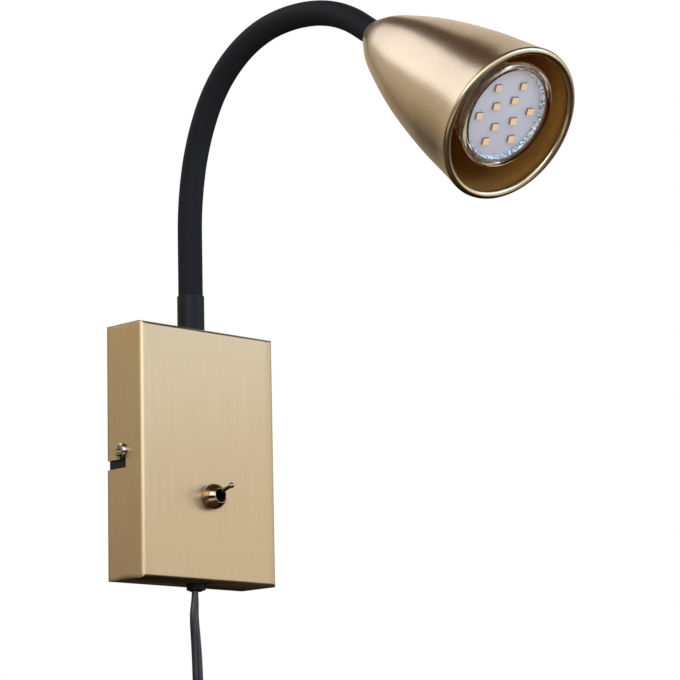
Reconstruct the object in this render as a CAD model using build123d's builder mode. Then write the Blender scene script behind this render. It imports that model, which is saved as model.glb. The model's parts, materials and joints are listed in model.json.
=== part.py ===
# Flexible wall lamp: a sheet-steel wall box with a toggle switch, a rubber-sleeved
# gooseneck arm, a bell shade with a twist-lock reflector bulb, and a flat lead with its plug.
# Millimetres. The origin is on the wall, at the middle of the box's back:
# +X to the right seen from the room, -Y out into the room, +Z up.
import os
from math import asin, cos, degrees, pi, radians, sin, sqrt, tan

from build123d import *

os.makedirs("parts", exist_ok=True)

# Fits
slide_fit = 0.3     # between pieces that slide past one another
seat_fit = 0.1      # radial, a piece pushed into its seat
thread_fit = 0.05   # radial, a screw or tube in its thread
run_fit = 0.05      # radial, a pin in the piece that turns on it

# Wall box
box_w = 85.0
box_h = 122.0
box_d = 25.0
sheet_t = 1.0
box_edge_r = 1.8         # folds round the front; the corner seams are sharp

# Wall bracket
bracket_t = 1.5
bracket_h = 96.0
bracket_corner_r = 4.0
ear_h = 24.0
ear_lip = 6.0            # ear in front of the cover screw's axis
wall_slot_w = 4.6
wall_slot_len = 12.0
wall_slot_spacing = 50.0
wall_slot_z = 38.0

# Cover screws and the slots that let the cover hook over them
cover_screw_d = 4.0
cover_screw_len = 8.0
cover_head_d = 7.7
cover_head_h = 2.5
cover_screw_depth = 11.0  # screw axis in front of the wall
cover_slot_w = 4.4
cover_slot_drop = 6.0
cover_slot_corner_r = 0.7
cross_w = 0.9
cross_len = 4.4
cross_depth = 1.2

# Toggle switch
switch_z = -20.3
dome_d = 12.4
dome_centre_out = 2.6    # ball centre in front of the cover
dome_nose_out = 7.65     # flat nose in front of the cover
dome_mouth_d = 6.6
bushing_d = 6.0
bushing_bore_d = 4.4
bushing_out = 4.0
pivot_out = 2.5
pivot_pin_d = 1.0
lever_len = 13.2
lever_root_d = 2.2
lever_tip_d = 1.7
lever_ball_d = 2.8
lever_hub_d = 3.6
lever_tail = 3.0
lever_throw = 17.4       # degrees either side of straight out
switch_nut_af = 8.0
switch_nut_t = 2.0
switch_body_w = 12.0
switch_body_h = 20.0
switch_body_d = 13.0
switch_cavity_d = 5.0
switch_cavity_deep = 5.0
tab_w = 4.8
tab_t = 0.8
tab_len = 4.0
tab_spacing = 10.0

# Terminal block
block_w = 20.0
block_h = 14.0
block_d = 11.0
block_z = 21.0
block_pole_spacing = 10.0
block_screw_d = 3.4
block_screw_h = 4.0
block_screw_spacing = 7.0
block_peg_d = 3.0
block_entry_d = 3.2
block_entry_deep = 2.5

# Arm
arm_d = 12.0
arm_bore_d = 9.0
ball_gap = 0.3           # between one link's ball end and the next link's socket
link_len = 30.64
link_bends = (0.0, 12.0, 17.0, 27.5, 27.5, 18.5, 24.0)  # degrees turned along each link
neck_run = 10.3          # last joint to the shade's neck
ferrule_d = 13.2
ferrule_h = 18.5
ferrule_chamfer = 0.3
ferrule_web_t = 1.2
joint_rise = 1.0         # first joint above the ferrule
nipple_d = 10.0
nipple_bore_d = 7.0
nipple_up = 9.0          # above the top of the box
nipple_down = 9.0        # below the top of the box
lock_washer_d = 18.0
lock_washer_t = 1.0
lock_nut_af = 14.0
lock_nut_t = 3.0

# Shade
shade_len = 103.0
mouth_d = 72.4
neck_d = 13.2
neck_edge_r = 1.2
neck_wall = 7.0
shade_t = 1.2
lip_w = 3.5
lip_depth = 3.0
lip_round = 1.4
bell_ratios = ((0.2, 0.921), (0.45, 0.79), (0.68, 0.611), (0.86, 0.417))  # along length, of radius

# Bulb
bulb_d = 49.5
bulb_rise = 2.5          # bulb's axis above the shade's axis, as it sits in the picture
bulb_len = 52.5
bulb_rim_h = 2.6
bulb_rim_round = 1.0
bulb_wall = 1.6
bulb_cup_len = 36.0
bulb_base_d = 26.4
window_d = 43.0
window_t = 1.2
window_sink = 0.5
board_d = 41.0
board_t = 1.2
board_sink = 3.3
chip_w = 3.7
chip_h = 3.1
chip_t = 0.7
chip_inner_count = 4
chip_inner_ring_r = 7.2
chip_inner_angle = 71.5  # degrees, first chip
chip_outer_count = 6
chip_outer_ring_r = 14.6
chip_outer_angle = 15.0  # degrees, first chip and lean of all
pin_spacing = 10.0
pin_neck_d = 3.0
pin_neck_len = 2.8
pin_head_d = 5.0
pin_head_len = 2.2

# Lampholder inside the shade
carrier_run = 27.6       # shade's neck end to the carrier's back; the bulb's rim is then 4 mm inside
holder_gap = 0.4
holder_d = 26.8
holder_h = 17.0
holder_twist = 20.0      # degrees from locked to free
holder_face_t = 2.2
holder_pocket_deep = 9.0
pin_room = 0.8           # across a pin in its slot
contact_t = 2.6
holder_bore_d = 8.0
holder_screw_d = 3.0
holder_screw_head_d = 5.4
holder_screw_head_h = 2.0
holder_screw_sink = 3.6
holder_screw_spacing = 20.4
carrier_t = 1.5
carrier_boss_d = 14.0
carrier_boss_h = 7.0
neck_nut_af = 13.0
neck_nut_t = 3.0
spigot_len = 3.2

# Wires
wire_d = 1.5
wire_run = 4.0           # straight out of the gland and into the nipple
wire_tab_run = 6.0       # straight up from a switch tab
wire_block_run = 8.0     # straight into the terminal block
wire_low_run = 10.0      # straight up into the lower switch tab
wire_side_rise = 18.0    # from the gland to beside the switch
lead_wire_pitch = 1.7

# Gland and lead
gland_y = -14.0
gland_flange_d = 9.6
gland_flange_h = 3.0
gland_nose_d = 6.6
gland_tip_d = 5.6
gland_nose_h = 0.6
gland_thread_d = 7.0
gland_thread_h = 5.0
gland_bore_d = 3.6
gland_nut_af = 10.0
gland_nut_t = 2.4
cord_d = 4.5             # round stand-in with the section area of the flat lead

# Coil of the put-away length, hung below the box
coil_r = 42.0
coil_pitch = 5.4
coil_layer_step = 6.0
coil_half_turns_in = 8
coil_half_turns_out = 7
tail_len = 40.0
tie_w = 8.0
tie_t = 1.0
tie_fit = 0.5
tie_round = 3.0

# Plug
plug_relief_top_d = 7.0
plug_relief_d = 9.0
plug_relief_h = 10.0
plug_top_w = 14.0
plug_top_t = 11.0
plug_w = 35.0
plug_t = 13.7
plug_h = 33.0
plug_taper_h = 14.0
plug_corner_r = 4.5
plug_base_r = 1.0
plug_pin_d = 4.0
plug_pin_len = 19.0
plug_pin_spacing = 18.6

# Derived places
face_y = -box_d
top_z = box_h / 2
arm_y = -box_d / 2
pivot_y = face_y - pivot_out
bracket_w = box_w - 2 * sheet_t - 2 * slide_fit
switch_front_y = face_y + sheet_t + switch_nut_t
switch_back_y = switch_front_y + switch_body_d
block_back_y = -bracket_t
block_front_y = block_back_y - block_d
pole_y = block_back_y - block_d / 2
ferrule_seat_z = top_z + nipple_up + ferrule_web_t
front_plane = Plane.XZ.offset(box_d)
top_plane = Plane.XY.offset(top_z)


def direction(angle):
    # unit vector in the arm's plane: 0 points into the room, 90 points up
    return Vector(0, -cos(radians(angle)), sin(radians(angle)))


def save(part, name):
    part.label = name
    export_step(part, f"parts/{name}.step")


def bend_radii(points):
    # largest arc that the two runs at each corner leave room for
    corners = [Vector(*point) for point in points]
    radii = []
    for before, corner, after in zip(corners, corners[1:], corners[2:]):
        turn = (corner - before).get_angle(after - corner)
        shorter = min((corner - before).length, (after - corner).length)
        radii.append(0.45 * shorter / tan(radians(turn) / 2))
    return radii


def report_tube(name, part, length, diameter):
    share = part.volume / (pi * diameter**2 / 4 * length)
    print(f"{name}: length {length:.1f}, volume against section times length {share:.4f}")


def tube(points, diameter, name):
    radii = bend_radii(points)
    with BuildPart() as run:
        with BuildLine():
            route = FilletPolyline(*points, radius=radii)
        with BuildSketch(Plane(origin=route @ 0, z_dir=route % 0)):
            Circle(diameter / 2)
        sweep()
    print(f"{name}: bend radii", [round(radius, 1) for radius in radii])
    report_tube(name, run.part, route.length, diameter)
    return run.part


def hex_nut(plane, across_flats, thickness, bore_d):
    with BuildPart() as nut:
        with BuildSketch(plane):
            RegularPolygon(across_flats / 2, 6, major_radius=False)
            Circle(bore_d / 2, mode=Mode.SUBTRACT)
        extrude(amount=thickness)
    return nut.part


# Cover: box open towards the wall, with hooks, switch hole, arm hole and gland hole
with BuildPart() as cover:
    with BuildSketch(Plane.XZ):
        Rectangle(box_w, box_h)
    extrude(amount=box_d)
    fillet(cover.faces().sort_by(Axis.Y)[0].edges(), box_edge_r)
    offset(amount=-sheet_t, openings=cover.faces().sort_by(Axis.Y)[-1])
    with BuildSketch(front_plane):
        with Locations((0, switch_z)):
            Circle(bushing_d / 2 + seat_fit)
    extrude(amount=-2 * sheet_t, mode=Mode.SUBTRACT)
    with BuildSketch(top_plane):
        with Locations((0, arm_y)):
            Circle(nipple_d / 2 + seat_fit)
    extrude(amount=-2 * sheet_t, mode=Mode.SUBTRACT)
    with BuildSketch(Plane.XY.offset(-top_z)):
        with Locations((0, gland_y)):
            Circle(gland_thread_d / 2 + seat_fit)
    extrude(amount=2 * sheet_t, mode=Mode.SUBTRACT)
    with BuildSketch(Plane.YZ) as cover_slot:
        with Locations((-cover_screw_depth, 0)):
            Circle(cover_slot_w / 2)
            Rectangle(cover_slot_w, cover_slot_drop + cover_slot_w / 2, align=(Align.CENTER, Align.MAX))
        with Locations((-cover_screw_depth, -cover_slot_drop)):
            Rectangle(2 * cover_screw_depth, cover_slot_w, align=(Align.MIN, Align.CENTER))
        fillet(cover_slot.vertices().group_by(Axis.Y)[0].sort_by(Axis.X)[0], cover_slot_corner_r)
    extrude(amount=box_w, both=True, mode=Mode.SUBTRACT)
save(cover.part, "cover")

# Wall bracket: plate against the wall with an ear each side for the cover screws
with BuildPart() as wall_bracket:
    with BuildSketch(Plane.XZ):
        RectangleRounded(bracket_w, bracket_h, bracket_corner_r)
        with Locations((0, wall_slot_z)):
            with GridLocations(wall_slot_spacing, 0, 2, 1):
                SlotOverall(wall_slot_len, wall_slot_w, mode=Mode.SUBTRACT)
        with Locations((0, block_z)):
            Circle(block_peg_d / 2 + seat_fit, mode=Mode.SUBTRACT)
    extrude(amount=bracket_t)
    ear_d = cover_screw_depth + ear_lip
    with Locations((0, -ear_d / 2, 0)):
        with GridLocations(bracket_w - bracket_t, 0, 2, 1):
            Box(bracket_t, ear_d, ear_h)
    with BuildSketch(Plane.YZ):
        with Locations((-cover_screw_depth, 0)):
            Circle(cover_screw_d / 2 + thread_fit)
    extrude(amount=box_w, both=True, mode=Mode.SUBTRACT)
save(wall_bracket.part, "wall_bracket")

# Cover screws: pan heads with a cross recess, one each side
with BuildPart() as cover_screws:
    screw_plane = Plane(origin=(-box_w / 2, -cover_screw_depth, 0), x_dir=(0, 1, 0), z_dir=(-1, 0, 0))
    with BuildSketch(screw_plane):
        Circle(cover_head_d / 2)
    extrude(amount=cover_head_h)
    head_rim = cover_screws.edges().sort_by(Axis.X)[0]
    fillet(head_rim, cover_head_h * 0.7)
    with BuildSketch(screw_plane):
        Circle(cover_screw_d / 2)
    extrude(amount=-cover_screw_len)
    with BuildSketch(screw_plane.offset(cover_head_h)):
        Rectangle(cross_w, cross_len)
        Rectangle(cross_len, cross_w)
    extrude(amount=-cross_depth, mode=Mode.SUBTRACT)
    mirror(about=Plane.YZ)
save(cover_screws.part, "cover_screws")

# Toggle switch: dome nut outside, bushing through the cover, hex nut and body inside
with BuildPart() as switch_dome_nut:
    with Locations((0, face_y - dome_centre_out, switch_z)):
        Sphere(dome_d / 2)
    split(bisect_by=front_plane, keep=Keep.TOP)
    split(bisect_by=front_plane.offset(dome_nose_out), keep=Keep.BOTTOM)
    with BuildSketch(front_plane):
        with Locations((0, switch_z)):
            Circle(bushing_d / 2 + thread_fit)
    extrude(amount=dome_nose_out, mode=Mode.SUBTRACT)
    with BuildSketch(front_plane.offset(bushing_out)):
        with Locations((0, switch_z)):
            Circle(dome_mouth_d / 2)
    extrude(amount=dome_nose_out, mode=Mode.SUBTRACT)
save(switch_dome_nut.part, "switch_dome_nut")

with BuildPart() as switch_bushing:
    with BuildSketch(Plane.XZ.offset(-switch_front_y)):
        with Locations((0, switch_z)):
            Circle(bushing_d / 2)
            Circle(bushing_bore_d / 2, mode=Mode.SUBTRACT)
    extrude(amount=sheet_t + switch_nut_t + bushing_out)
    with Locations((0, pivot_y, switch_z)):
        Cylinder(pivot_pin_d / 2, bushing_d, rotation=(0, 90, 0), mode=Mode.SUBTRACT)
save(switch_bushing.part, "switch_bushing")

with BuildPart() as switch_pivot_pin:
    with Locations((0, pivot_y, switch_z)):
        Cylinder(pivot_pin_d / 2, bushing_d, rotation=(0, 90, 0))
save(switch_pivot_pin.part, "switch_pivot_pin")

switch_nut_plane = Plane(origin=(0, switch_front_y, switch_z), x_dir=(1, 0, 0), z_dir=(0, -1, 0))
save(
    hex_nut(switch_nut_plane, switch_nut_af, switch_nut_t, bushing_d + 2 * thread_fit),
    "switch_inner_nut",
)

with BuildPart() as switch_body:
    with BuildSketch(Plane.XZ.offset(-switch_back_y)):
        with Locations((0, switch_z)):
            Rectangle(switch_body_w, switch_body_h)
    extrude(amount=switch_body_d)
    chamfer(switch_body.edges().filter_by(Axis.Y), 1.0)
    with BuildSketch(Plane.XZ.offset(-switch_front_y)):
        with Locations((0, switch_z)):
            Circle(switch_cavity_d / 2)
    extrude(amount=-switch_cavity_deep, mode=Mode.SUBTRACT)
save(switch_body.part, "switch_body")

with BuildPart() as switch_terminals:
    with BuildSketch(Plane.XZ.offset(-switch_back_y)):
        with Locations((0, switch_z)):
            with GridLocations(0, tab_spacing, 1, 2):
                Rectangle(tab_t, tab_w)
    extrude(amount=-tab_len)
save(switch_terminals.part, "switch_terminals")

# Lever: hub on the pivot pin, tapered bat with a ball tip, short tail inside the bushing
lever_dir = direction(lever_throw)
with BuildPart() as switch_lever:
    pivot = Vector(0, pivot_y, switch_z)
    with BuildSketch(Plane(origin=pivot, x_dir=lever_dir, z_dir=(1, 0, 0))):
        with BuildLine():
            Polyline(
                (-lever_tail, 0), (-lever_tail, lever_tip_d / 2), (0, lever_root_d / 2),
                (lever_len, lever_tip_d / 2), (lever_len, 0), close=True,
            )
        make_face()
        Circle(lever_hub_d / 2)
        with Locations((lever_len, 0)):
            Circle(lever_ball_d / 2)
        Rectangle(3 * lever_len, lever_len, align=(Align.CENTER, Align.MIN), mode=Mode.INTERSECT)
    revolve(axis=Axis(pivot, lever_dir))
    with BuildSketch(Plane(origin=pivot, x_dir=lever_dir, z_dir=(1, 0, 0))):
        Circle(pivot_pin_d / 2 + run_fit)
    extrude(amount=lever_hub_d, both=True, mode=Mode.SUBTRACT)
save(switch_lever.part, "switch_lever")

# Terminal block pegged to the bracket, with a pair of clamping screws for each pole
with BuildPart() as terminal_block:
    with BuildSketch(Plane.XZ.offset(-block_back_y)):
        with Locations((0, block_z)):
            Rectangle(block_w, block_h)
    extrude(amount=block_d)
    chamfer(terminal_block.edges().filter_by(Axis.Z), 0.8)
    with BuildSketch(Plane.XZ.offset(-block_back_y)):
        with Locations((0, block_z)):
            Circle(block_peg_d / 2)
    extrude(amount=-bracket_t)
    with BuildSketch(Plane.XZ.offset(-block_front_y)):
        with Locations((0, block_z)):
            with GridLocations(block_pole_spacing, block_screw_spacing, 2, 2):
                Circle(block_screw_d / 2 + thread_fit)
    extrude(amount=-block_screw_h, mode=Mode.SUBTRACT)
    for entry_z, into in ((block_z - block_h / 2, 1), (block_z + block_h / 2, -1)):
        with BuildSketch(Plane.XY.offset(entry_z)):
            with Locations((0, pole_y)):
                with GridLocations(block_pole_spacing, 0, 2, 1):
                    Circle(block_entry_d / 2)
        extrude(amount=into * block_entry_deep, mode=Mode.SUBTRACT)
save(terminal_block.part, "terminal_block")

with BuildPart() as terminal_screws:
    with BuildSketch(Plane.XZ.offset(-block_front_y)):
        with Locations((0, block_z)):
            with GridLocations(block_pole_spacing, block_screw_spacing, 2, 2):
                Circle(block_screw_d / 2)
    extrude(amount=-block_screw_h)
    with BuildSketch(Plane.XZ.offset(-block_front_y)):
        with Locations((0, block_z)):
            with GridLocations(block_pole_spacing, block_screw_spacing, 2, 2):
                Rectangle(block_screw_d, cross_w)
    extrude(amount=-cross_w, mode=Mode.SUBTRACT)
save(terminal_screws.part, "terminal_screws")

# Arm foot: threaded nipple through the top of the box, washer and nut inside, ferrule outside
with BuildPart() as arm_nipple:
    with BuildSketch(top_plane.offset(-nipple_down)):
        with Locations((0, arm_y)):
            Circle(nipple_d / 2)
            Circle(nipple_bore_d / 2, mode=Mode.SUBTRACT)
    extrude(amount=nipple_down + nipple_up)
save(arm_nipple.part, "arm_nipple")

with BuildPart() as arm_washer:
    with BuildSketch(top_plane.offset(-sheet_t)):
        with Locations((0, arm_y)):
            Circle(lock_washer_d / 2)
            Circle(nipple_d / 2 + seat_fit, mode=Mode.SUBTRACT)
    extrude(amount=-lock_washer_t)
save(arm_washer.part, "arm_washer")

lock_nut_z = top_z - sheet_t - lock_washer_t - lock_nut_t
lock_nut_plane = Plane(origin=(0, arm_y, lock_nut_z))
save(
    hex_nut(lock_nut_plane, lock_nut_af, lock_nut_t, nipple_d + 2 * thread_fit),
    "arm_lock_nut",
)

with BuildPart() as arm_ferrule:
    with BuildSketch(top_plane):
        with Locations((0, arm_y)):
            Circle(ferrule_d / 2)
    extrude(amount=ferrule_h)
    chamfer(arm_ferrule.faces().sort_by(Axis.Z)[-1].edges(), ferrule_chamfer)
    with BuildSketch(top_plane):
        with Locations((0, arm_y)):
            Circle(nipple_d / 2 + thread_fit)
    extrude(amount=nipple_up, mode=Mode.SUBTRACT)
    with BuildSketch(top_plane):
        with Locations((0, arm_y)):
            Circle(nipple_bore_d / 2)
    extrude(amount=ferrule_h, mode=Mode.SUBTRACT)
    with BuildSketch(Plane.XY.offset(ferrule_seat_z)):
        with Locations((0, arm_y)):
            Circle(arm_d / 2 + seat_fit)
    extrude(amount=ferrule_h, mode=Mode.SUBTRACT)
save(arm_ferrule.part, "arm_ferrule")

# Arm joints: each link turns by its own bend and runs into the next without a kink
arm_joints = [Vector(0, arm_y, top_z + ferrule_h + joint_rise)]
headings = [90.0]
for bend in link_bends:
    half = radians(bend) / 2
    chord = link_len * sin(half) / half if bend else link_len
    arm_joints.append(arm_joints[-1] + direction(headings[-1] - bend / 2) * chord)
    headings.append(headings[-1] - bend)


def link_line(start, end, heading, bend):
    if bend:
        return TangentArc(start, end, tangent=direction(heading))
    return Line(start, end)


def arm_sleeve(start, end, heading, bend, socket, ball):
    # rubber tube; a ball end turns in the socket of the next one
    with BuildPart() as sleeve:
        with BuildLine():
            link_line(start, end, heading, bend)
        with BuildSketch(Plane(origin=start, x_dir=(1, 0, 0), z_dir=direction(heading))):
            Circle(arm_d / 2)
            Circle(arm_bore_d / 2, mode=Mode.SUBTRACT)
        sweep()
        if ball:
            tip_dir = direction(heading - bend)
            bore_angle = degrees(asin(arm_bore_d / arm_d))
            with BuildSketch(Plane(origin=end, x_dir=tip_dir, z_dir=(1, 0, 0))):
                with BuildLine():
                    edge = CenterArc((0, 0), arm_d / 2, 90, bore_angle - 90)
                    Polyline(edge @ 1, (0, arm_bore_d / 2), edge @ 0)
                make_face()
            revolve(axis=Axis(end, tip_dir))
        if socket:
            with Locations(start):
                Sphere(arm_d / 2 + ball_gap, mode=Mode.SUBTRACT)
    return sleeve.part


def arm_core(start, end, heading, bend, socket):
    # gooseneck inside the rubber; its end stays within the sleeve's ball
    core_r = arm_bore_d / 2 - seat_fit
    with BuildPart() as core:
        with BuildLine():
            run = link_line(start, end, heading, bend)
            Line(run @ 1, run @ 1 + (run % 1) * sqrt((arm_d / 2) ** 2 - core_r**2))
        with BuildSketch(Plane(origin=start, x_dir=(1, 0, 0), z_dir=direction(heading))):
            Circle(core_r)
        sweep()
        if socket:
            with Locations(start):
                Sphere(arm_d / 2 + ball_gap, mode=Mode.SUBTRACT)
    return core.part


arm_foot = Vector(0, arm_y, ferrule_seat_z)
save(arm_sleeve(arm_foot, arm_joints[0], 90, 0, False, True), "arm_foot_sleeve")
save(arm_core(arm_foot, arm_joints[0], 90, 0, False), "arm_foot_core")
for index, bend in enumerate(link_bends):
    ends = (arm_joints[index], arm_joints[index + 1], headings[index], bend)
    save(arm_sleeve(*ends, True, True), f"arm_sleeve_{index + 1}")
    save(arm_core(*ends, True), f"arm_core_{index + 1}")

lamp_dir = direction(headings[-1])
neck = arm_joints[-1] + lamp_dir * neck_run
mouth = neck + lamp_dir * shade_len
lamp_axis = Axis(mouth, lamp_dir)
lamp_section = Plane(origin=mouth, x_dir=lamp_dir * -1, z_dir=(1, 0, 0))
bulb_mouth = mouth + lamp_dir.cross(Vector(1, 0, 0)) * bulb_rise
bulb_axis = Axis(bulb_mouth, lamp_dir)
bulb_section = Plane(origin=bulb_mouth, x_dir=lamp_dir * -1, z_dir=(1, 0, 0))
save(arm_sleeve(arm_joints[-1], neck, headings[-1], 0, True, False), "arm_end_sleeve")


def lamp_plane(behind):
    # across the lamp's axis, so far behind the mouth, facing out of the mouth
    return Plane(origin=mouth - lamp_dir * behind, x_dir=(1, 0, 0), z_dir=lamp_dir)


def bulb_plane(behind):
    # the same, about the bulb's axis
    return Plane(origin=bulb_mouth - lamp_dir * behind, x_dir=(1, 0, 0), z_dir=lamp_dir)


def bell_points(length, radius, end_radius):
    waist = [(along * length, share * radius) for along, share in bell_ratios]
    return [(0, radius)] + waist + [(length, end_radius)]


# Shade: spun bell with a rolled lip and a thick neck
mouth_r = mouth_d / 2
inner_len = shade_len - neck_wall
with BuildPart() as shade:
    with BuildSketch(lamp_section):
        with BuildLine():
            Spline(*bell_points(shade_len, mouth_r, neck_d / 2))
            Polyline((shade_len, neck_d / 2), (shade_len, 0), (0, 0), (0, mouth_r))
        make_face()
    revolve(axis=lamp_axis)
    with BuildSketch(lamp_section):
        with BuildLine():
            Spline(*bell_points(inner_len, mouth_r - shade_t, neck_nut_af / 2 + shade_t))
            Polyline(
                (inner_len, neck_nut_af / 2 + shade_t), (inner_len, 0), (0, 0), (0, mouth_r - shade_t),
            )
        make_face()
        with BuildLine():
            Polyline(
                (0, mouth_r - lip_w), (lip_depth, mouth_r - lip_w), (lip_depth, mouth_r),
                (0, mouth_r), close=True,
            )
        make_face(mode=Mode.SUBTRACT)
    revolve(axis=lamp_axis, mode=Mode.SUBTRACT)
    rim = shade.edges().filter_by(GeomType.CIRCLE).sort_by(lambda e: (e.arc_center - mouth).length)[:2]
    fillet(rim, lip_round)
    neck_edge = shade.edges().filter_by(GeomType.CIRCLE).sort_by(lambda e: (e.arc_center - neck).length)[0]
    fillet(neck_edge, neck_edge_r)
    with BuildSketch(lamp_plane(shade_len)):
        Circle(nipple_d / 2 + seat_fit)
    extrude(amount=neck_wall, mode=Mode.SUBTRACT)
save(shade.part, "shade")

# Bulb: glass cup, window, board with its chips, base and twist-lock pins
carrier_back = shade_len - carrier_run
holder_back = carrier_back - carrier_t
holder_front = holder_back - holder_h
bulb_end = holder_front - holder_gap
bulb_recess = bulb_end - bulb_len
bulb_r = bulb_d / 2
cup_end = bulb_recess + bulb_cup_len
board_front = bulb_recess + board_sink
board_back = board_front + board_t
window_back = bulb_recess + window_sink + window_t
with BuildPart() as bulb_cup:
    with BuildSketch(bulb_section):
        with BuildLine():
            flare = Spline(
                (bulb_recess + bulb_rim_h, bulb_r),
                (bulb_recess + bulb_cup_len * 0.5, bulb_base_d / 2 + (bulb_r - bulb_base_d / 2) * 0.62),
                (cup_end, bulb_base_d / 2),
            )
            Polyline(
                flare @ 1,
                (cup_end, bulb_base_d / 2 - bulb_wall),
                (board_back + bulb_wall, bulb_base_d / 2 - bulb_wall),
                (board_back + bulb_wall, board_d / 2 - bulb_wall),
                (board_back, board_d / 2 - bulb_wall),
                (board_back, board_d / 2 + seat_fit),
                (window_back, board_d / 2 + seat_fit),
                (window_back, window_d / 2 + seat_fit),
                (bulb_recess, window_d / 2 + seat_fit),
                (bulb_recess, bulb_r),
                flare @ 0,
            )
        make_face()
    revolve(axis=bulb_axis)
    rim_edges = bulb_cup.edges().filter_by(GeomType.CIRCLE).sort_by(lambda e: (e.arc_center - bulb_mouth).length)
    fillet(rim_edges[:2].sort_by(SortBy.RADIUS)[-1], bulb_rim_round)
save(bulb_cup.part, "bulb_cup")

with BuildPart() as bulb_window:
    with BuildSketch(bulb_plane(window_back)):
        Circle(window_d / 2)
    extrude(amount=window_t)
save(bulb_window.part, "bulb_window")

with BuildPart() as bulb_board:
    with BuildSketch(bulb_plane(board_back)):
        Circle(board_d / 2)
    extrude(amount=board_t)
save(bulb_board.part, "bulb_board")

with BuildPart() as bulb_chips:
    with BuildSketch(bulb_plane(board_front)):
        with PolarLocations(chip_inner_ring_r, chip_inner_count, start_angle=chip_inner_angle, rotate=False):
            Rectangle(chip_w, chip_h, rotation=chip_outer_angle)
        with PolarLocations(chip_outer_ring_r, chip_outer_count, start_angle=chip_outer_angle, rotate=False):
            Rectangle(chip_w, chip_h, rotation=chip_outer_angle)
    extrude(amount=chip_t)
save(bulb_chips.part, "bulb_chips")

with BuildPart() as bulb_base:
    with BuildSketch(bulb_plane(bulb_end)):
        Circle(bulb_base_d / 2)
    extrude(amount=bulb_len - bulb_cup_len)
    chamfer(bulb_base.edges().sort_by(lambda e: (e.center() - bulb_mouth).length)[-1], 1.0)
save(bulb_base.part, "bulb_base")

with BuildPart() as bulb_pins:
    with BuildSketch(bulb_plane(bulb_end)):
        with GridLocations(pin_spacing, 0, 2, 1):
            Circle(pin_neck_d / 2)
    extrude(amount=-pin_neck_len)
    with BuildSketch(bulb_plane(bulb_end + pin_neck_len)):
        with GridLocations(pin_spacing, 0, 2, 1):
            Circle(pin_head_d / 2)
    extrude(amount=-pin_head_len)
save(bulb_pins.part, "bulb_pins")

# Lampholder: ceramic, with a keyhole slot for each pin, screwed to a carrier on the nipple
boss_back = carrier_back + carrier_boss_h
with BuildPart() as lampholder:
    with BuildSketch(bulb_plane(holder_back)):
        Circle(holder_d / 2)
    extrude(amount=holder_h)
    for side in (0, 180):
        slot_line = CenterArc((0, 0), pin_spacing / 2, side, holder_twist, mode=Mode.PRIVATE)
        with BuildSketch(bulb_plane(holder_front)):
            SlotArc(slot_line, pin_neck_d + pin_room)
            with Locations(slot_line @ 1):
                Circle((pin_head_d + pin_room) / 2)
        extrude(amount=-holder_face_t, mode=Mode.SUBTRACT)
        with BuildSketch(bulb_plane(holder_front + holder_face_t)):
            SlotArc(slot_line, pin_head_d + pin_room)
        extrude(amount=holder_face_t - holder_pocket_deep, mode=Mode.SUBTRACT)
    with BuildSketch(lamp_plane(holder_back)):
        Circle(holder_bore_d / 2)
    extrude(amount=holder_h - holder_pocket_deep, mode=Mode.SUBTRACT)
    with Locations(bulb_plane(holder_front)):
        with GridLocations(0, holder_screw_spacing, 1, 2):
            CounterBoreHole(
                holder_screw_d / 2 + seat_fit, holder_screw_head_d / 2 + seat_fit, holder_screw_sink,
            )
save(lampholder.part, "lampholder")

with BuildPart() as holder_contacts:
    for side in (0, 180):
        slot_line = CenterArc((0, 0), pin_spacing / 2, side, holder_twist, mode=Mode.PRIVATE)
        with BuildSketch(bulb_plane(holder_front + holder_pocket_deep)):
            SlotArc(slot_line, pin_head_d)
        extrude(amount=contact_t)
save(holder_contacts.part, "holder_contacts")

with BuildPart() as holder_screws:
    with BuildSketch(bulb_plane(holder_front + holder_screw_sink)):
        with GridLocations(0, holder_screw_spacing, 1, 2):
            Circle(holder_screw_head_d / 2)
    extrude(amount=holder_screw_head_h)
    with BuildSketch(bulb_plane(holder_front + holder_screw_sink)):
        with GridLocations(0, holder_screw_spacing, 1, 2):
            Circle(holder_screw_d / 2)
    extrude(amount=holder_screw_sink - holder_h - carrier_t)
save(holder_screws.part, "holder_screws")

with BuildPart() as holder_carrier:
    with BuildSketch(bulb_plane(carrier_back)):
        Circle(holder_d / 2)
    extrude(amount=carrier_t)
    with BuildSketch(lamp_plane(carrier_back)):
        Circle(carrier_boss_d / 2)
    extrude(amount=-carrier_boss_h)
    with BuildSketch(lamp_plane(boss_back)):
        Circle(nipple_d / 2 + thread_fit)
    extrude(amount=carrier_boss_h, mode=Mode.SUBTRACT)
    with BuildSketch(lamp_plane(carrier_back)):
        Circle(nipple_bore_d / 2)
    extrude(amount=carrier_t, mode=Mode.SUBTRACT)
    with BuildSketch(bulb_plane(carrier_back)):
        with GridLocations(0, holder_screw_spacing, 1, 2):
            Circle(holder_screw_d / 2 + thread_fit)
    extrude(amount=carrier_t, mode=Mode.SUBTRACT)
save(holder_carrier.part, "holder_carrier")

with BuildPart() as shade_nipple:
    with BuildSketch(lamp_plane(shade_len)):
        Circle(nipple_d / 2)
    extrude(amount=shade_len - carrier_back)
    with BuildSketch(lamp_plane(shade_len)):
        Circle(arm_bore_d / 2 - seat_fit)
    extrude(amount=-spigot_len)
    with BuildSketch(lamp_plane(shade_len + spigot_len)):
        Circle(nipple_bore_d / 2)
    extrude(amount=spigot_len + shade_len - carrier_back, mode=Mode.SUBTRACT)
save(shade_nipple.part, "shade_nipple")

save(
    hex_nut(lamp_plane(inner_len), neck_nut_af, neck_nut_t, nipple_d + 2 * thread_fit),
    "neck_nut",
)

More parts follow.
